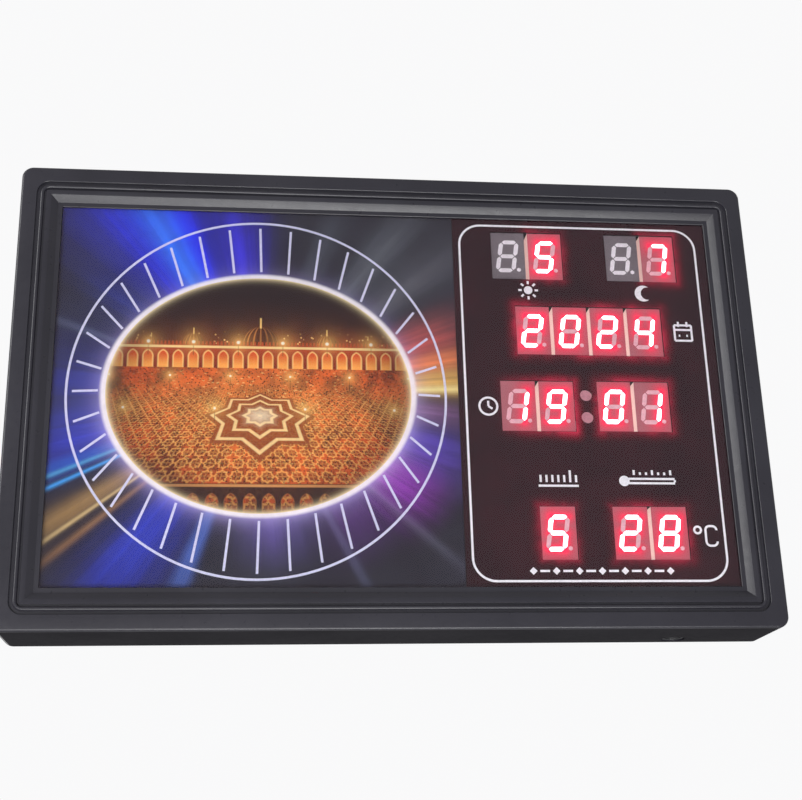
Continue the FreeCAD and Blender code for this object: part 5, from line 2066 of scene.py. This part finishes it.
@dataclass
class BackHalf:
    """Rear cover with its battery door, buttons and screws."""

    finishes: Finishes
    button_radius: float = 3.6
    button_round: float = 0.9
    head_radius: float = 2.7
    head_seat: float = -2.6
    head_side: float = 0.8
    head_top: float = -0.8
    shank_radius: float = 1.3
    shank_end: float = -14.6
    arm_reach: float = 1.45
    arm_half: float = 0.34
    recess_start: float = -0.5
    recess_floor: float = -1.9
    recess_taper: float = 0.55
    first_turn: float = 17.0
    more_turn: float = 41.0
    bore_radius: float = 1.6
    collar_radius: float = 4.9
    collar_front: float = -4.6
    collar_rear: float = -3.62
    dish_edge: float = 0.12
    dish_middle: float = 0.2

    def build(self) -> None:
        """Dresses the rear cover and what is on it."""
        dress("rear_cover", self.finishes.cover_plastic, 0.12)
        dress("battery_door", self.finishes.cover_plastic, 0.12)
        self.screws()
        for button in BUTTONS:
            self.cap(button)

    def screws(self) -> None:
        """Makes the four cover screws with domed heads and cross recesses."""
        low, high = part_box("cover_screws")
        reach = self.head_radius
        columns = (low[0] / MM + reach, high[0] / MM - reach)
        rows = (low[2] / MM + reach, high[2] / MM - reach)
        places = [(x, z) for x in columns for z in rows]
        rim = self.head_seat + self.head_side
        shank = self.shank_radius
        profile = [(shank, self.shank_end), (shank, self.head_seat), (reach, self.head_seat)]
        for radius, rise in arc(1.0, (0.0, 0.0), 0.0, 90.0, 8):
            profile.append((reach * radius, rim + (self.head_top - rim) * rise))
        made = turned("cover_screw_set", profile, places, self.finishes.screw_steel)
        points: list[Place] = []
        faces: list[Face] = []
        for index, (x, z) in enumerate(places):
            outline = self.cross(self.first_turn + self.more_turn * index)
            faces += shifted(solid_faces(len(outline)), len(points))
            for grow, y in ((1.0, self.recess_start), (self.recess_taper, self.recess_floor)):
                points += [(x + across * grow, y, z + up * grow) for across, up in outline]
        cut(made, points, faces)
        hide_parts("cover_screws")

    def cross(self, turn: float) -> list[Point]:
        """Outline of a cross recess about the origin.

        Args:
            turn: How far it is turned, degrees.

        Returns:
            Its (x, z) corners.
        """
        arm, half = self.arm_reach, self.arm_half
        corners = []
        for quarter in range(4):
            for x, z in ((arm, -half), (arm, half), (half, half)):
                angle = math.atan2(z, x) + math.radians(turn + 90.0 * quarter)
                corners.append((math.hypot(x, z) * math.cos(angle), math.hypot(x, z) * math.sin(angle)))
        return corners

    def cap(self, button: str) -> None:
        """Makes one soft button with a collar and a rounded, dished top.

        Args:
            button: Name of the button.
        """
        low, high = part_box(f"{button}_button")
        place = ((low[0] + high[0]) / 2.0 / MM, (low[2] + high[2]) / 2.0 / MM)
        top = high[1] / MM
        radius, small = self.button_radius, self.button_round
        profile = [
            (self.bore_radius, low[1] / MM),
            (self.bore_radius, self.collar_front),
            (self.collar_radius, self.collar_front),
            (self.collar_radius, self.collar_rear),
            (radius, self.collar_rear),
        ]
        profile += [(radius - small + x, top - small + y) for x, y in arc(small, (0.0, 0.0), 0.0, 90.0, 6)]
        profile += [(radius * 0.5, top - self.dish_edge), (0.0, top - self.dish_middle)]
        made = turned(f"{button}_cap", profile, [place], self.finishes.button_rubber, f"{button}_key")
        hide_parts(f"{button}_button")


# ------------------------------------------------------------------------------------ studio
@dataclass(frozen=True)
class Lamp:
    """One soft square lamp that faces the clock.

    Attributes:
        name: Its name.
        place: Where it stands, metres.
        size: Length of its sides, metres.
        power: Its power, watts.
    """

    name: str
    place: Place
    size: float
    power: float

    def build(self) -> None:
        """Puts the lamp up, out of the camera's sight."""
        data = bpy.data.lights.new(self.name, "AREA")
        data.size = self.size
        data.energy = self.power
        lamp = linked(self.name, data)
        lamp.visible_camera = False
        lamp.location = self.place
        lamp.rotation_euler = (-Vector(self.place)).to_track_quat("-Z", "Y").to_euler()


@dataclass
class Studio:
    """Pale floor, soft light and the camera: a key in front, one low, one at the side, one behind."""

    floor_z: float = -1.7
    floor_size: float = 12.0
    floor_pale: float = 0.75
    floor_greys: Point = (0.80, 0.84)
    world_colour: Colour = (0.92, 0.95, 1.0)
    world_light: float = 0.22
    seen_colour: Colour = (0.95, 0.95, 0.955)
    seen_light: float = 1.0
    lamps: tuple[Lamp, ...] = (
        Lamp("key", (-0.3, -1.2, -0.5), 0.7, 13.0),
        Lamp("low", (0.13, -0.83, -1.0), 0.7, 22.0),
        Lamp("side", (-1.1, -0.75, 0.45), 0.8, 19.0),
        Lamp("back", (0.4, 1.25, 0.4), 0.9, 15.0),
    )
    lens: float = 61.61
    sensor: float = 36.0
    nearest: float = 0.01
    camera_place: Place = (-0.05226, -0.4765, -0.16356)
    camera_turn: Place = (109.6018, 1.4574, -6.3566)

    def build(self) -> None:
        """Sets the stage, the light and the view."""
        self.floor()
        self.world()
        for lamp in self.lamps:
            lamp.build()
        self.camera()
        bpy.context.scene.view_settings.view_transform = "Standard"

    def floor(self) -> None:
        """A plain pale floor."""
        recipe = Recipe("studio_floor")
        mottle = recipe.noise(recipe.place(), 0.004, 3.0)
        dim, bright = [(grey, grey, grey) for grey in self.floor_greys]
        base = recipe.mix(mottle.fade(0.3, 0.7), dim, bright)
        path = recipe.node("ShaderNodeLightPath").outputs
        seen = Reading(recipe, path["Is Camera Ray"]).most(path["Is Glossy Ray"])
        seen = seen.most(path["Is Transmission Ray"])
        plain = recipe.solid(Base_Color=base, Roughness=0.7)
        pale = recipe.shader("ShaderNodeEmission", Color=base)
        half = self.floor_size / 2.0
        mesh = bpy.data.meshes.new("floor")
        corners = [(sx * half, sy * half, self.floor_z) for sx, sy in ((-1, -1), (1, -1), (1, 1), (-1, 1))]
        mesh.from_pydata(corners, [], [(0, 1, 2, 3)])
        mesh.materials.append(recipe.finish(recipe.blend(seen * self.floor_pale, plain, pale)))
        made = linked("floor", mesh)

    def world(self) -> None:
        """Pale surroundings, brighter where they are seen or mirrored than where they light."""
        world = bpy.data.worlds.new("studio")
        bpy.context.scene.world = world
        world.use_nodes = True
        tree = world.node_tree
        tree.nodes.clear()
        output = tree.nodes.new("ShaderNodeOutputWorld")
        path = tree.nodes.new("ShaderNodeLightPath")
        seen = path.outputs["Is Camera Ray"]
        for ray in ("Is Glossy Ray", "Is Transmission Ray"):
            either = tree.nodes.new("ShaderNodeMath")
            either.operation = "MAXIMUM"
            tree.links.new(seen, either.inputs[0])
            tree.links.new(path.outputs[ray], either.inputs[1])
            seen = either.outputs[0]
        blend = tree.nodes.new("ShaderNodeMixShader")
        tree.links.new(seen, blend.inputs[0])
        skies = ((self.world_colour, self.world_light), (self.seen_colour, self.seen_light))
        for index, (colour, strength) in enumerate(skies):
            sky = tree.nodes.new("ShaderNodeBackground")
            sky.inputs["Color"].default_value = (*colour, 1.0)
            sky.inputs["Strength"].default_value = strength
            tree.links.new(sky.outputs[0], blend.inputs[index + 1])
        tree.links.new(blend.outputs[0], output.inputs["Surface"])

    def camera(self) -> None:
        """The view from below and a little to the left."""
        data = bpy.data.cameras.new("view")
        data.lens = self.lens
        data.sensor_width = self.sensor
        data.sensor_fit = "HORIZONTAL"
        data.clip_start = self.nearest
        camera = linked("view", data)
        camera.location = self.camera_place
        camera.rotation_euler = Euler([math.radians(angle) for angle in self.camera_turn], "XYZ")
        bpy.context.scene.camera = camera


def main() -> None:
    """Builds the clock, one sub-assembly after the other."""
    logging.basicConfig(level=logging.INFO, format="%(message)s")
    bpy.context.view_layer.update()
    finishes = Finishes()
    for part in (
        FrameMoulding(finishes),
        Glazing(finishes),
        DialPrint(finishes),
        WindowPrint(finishes),
        LedCalendar(finishes),
        Inside(finishes),
        BackHalf(finishes),
        Studio(),
    ):
        part.build()
        log.info("%s: built", type(part).__name__)


if __name__ == "__main__":
    main()
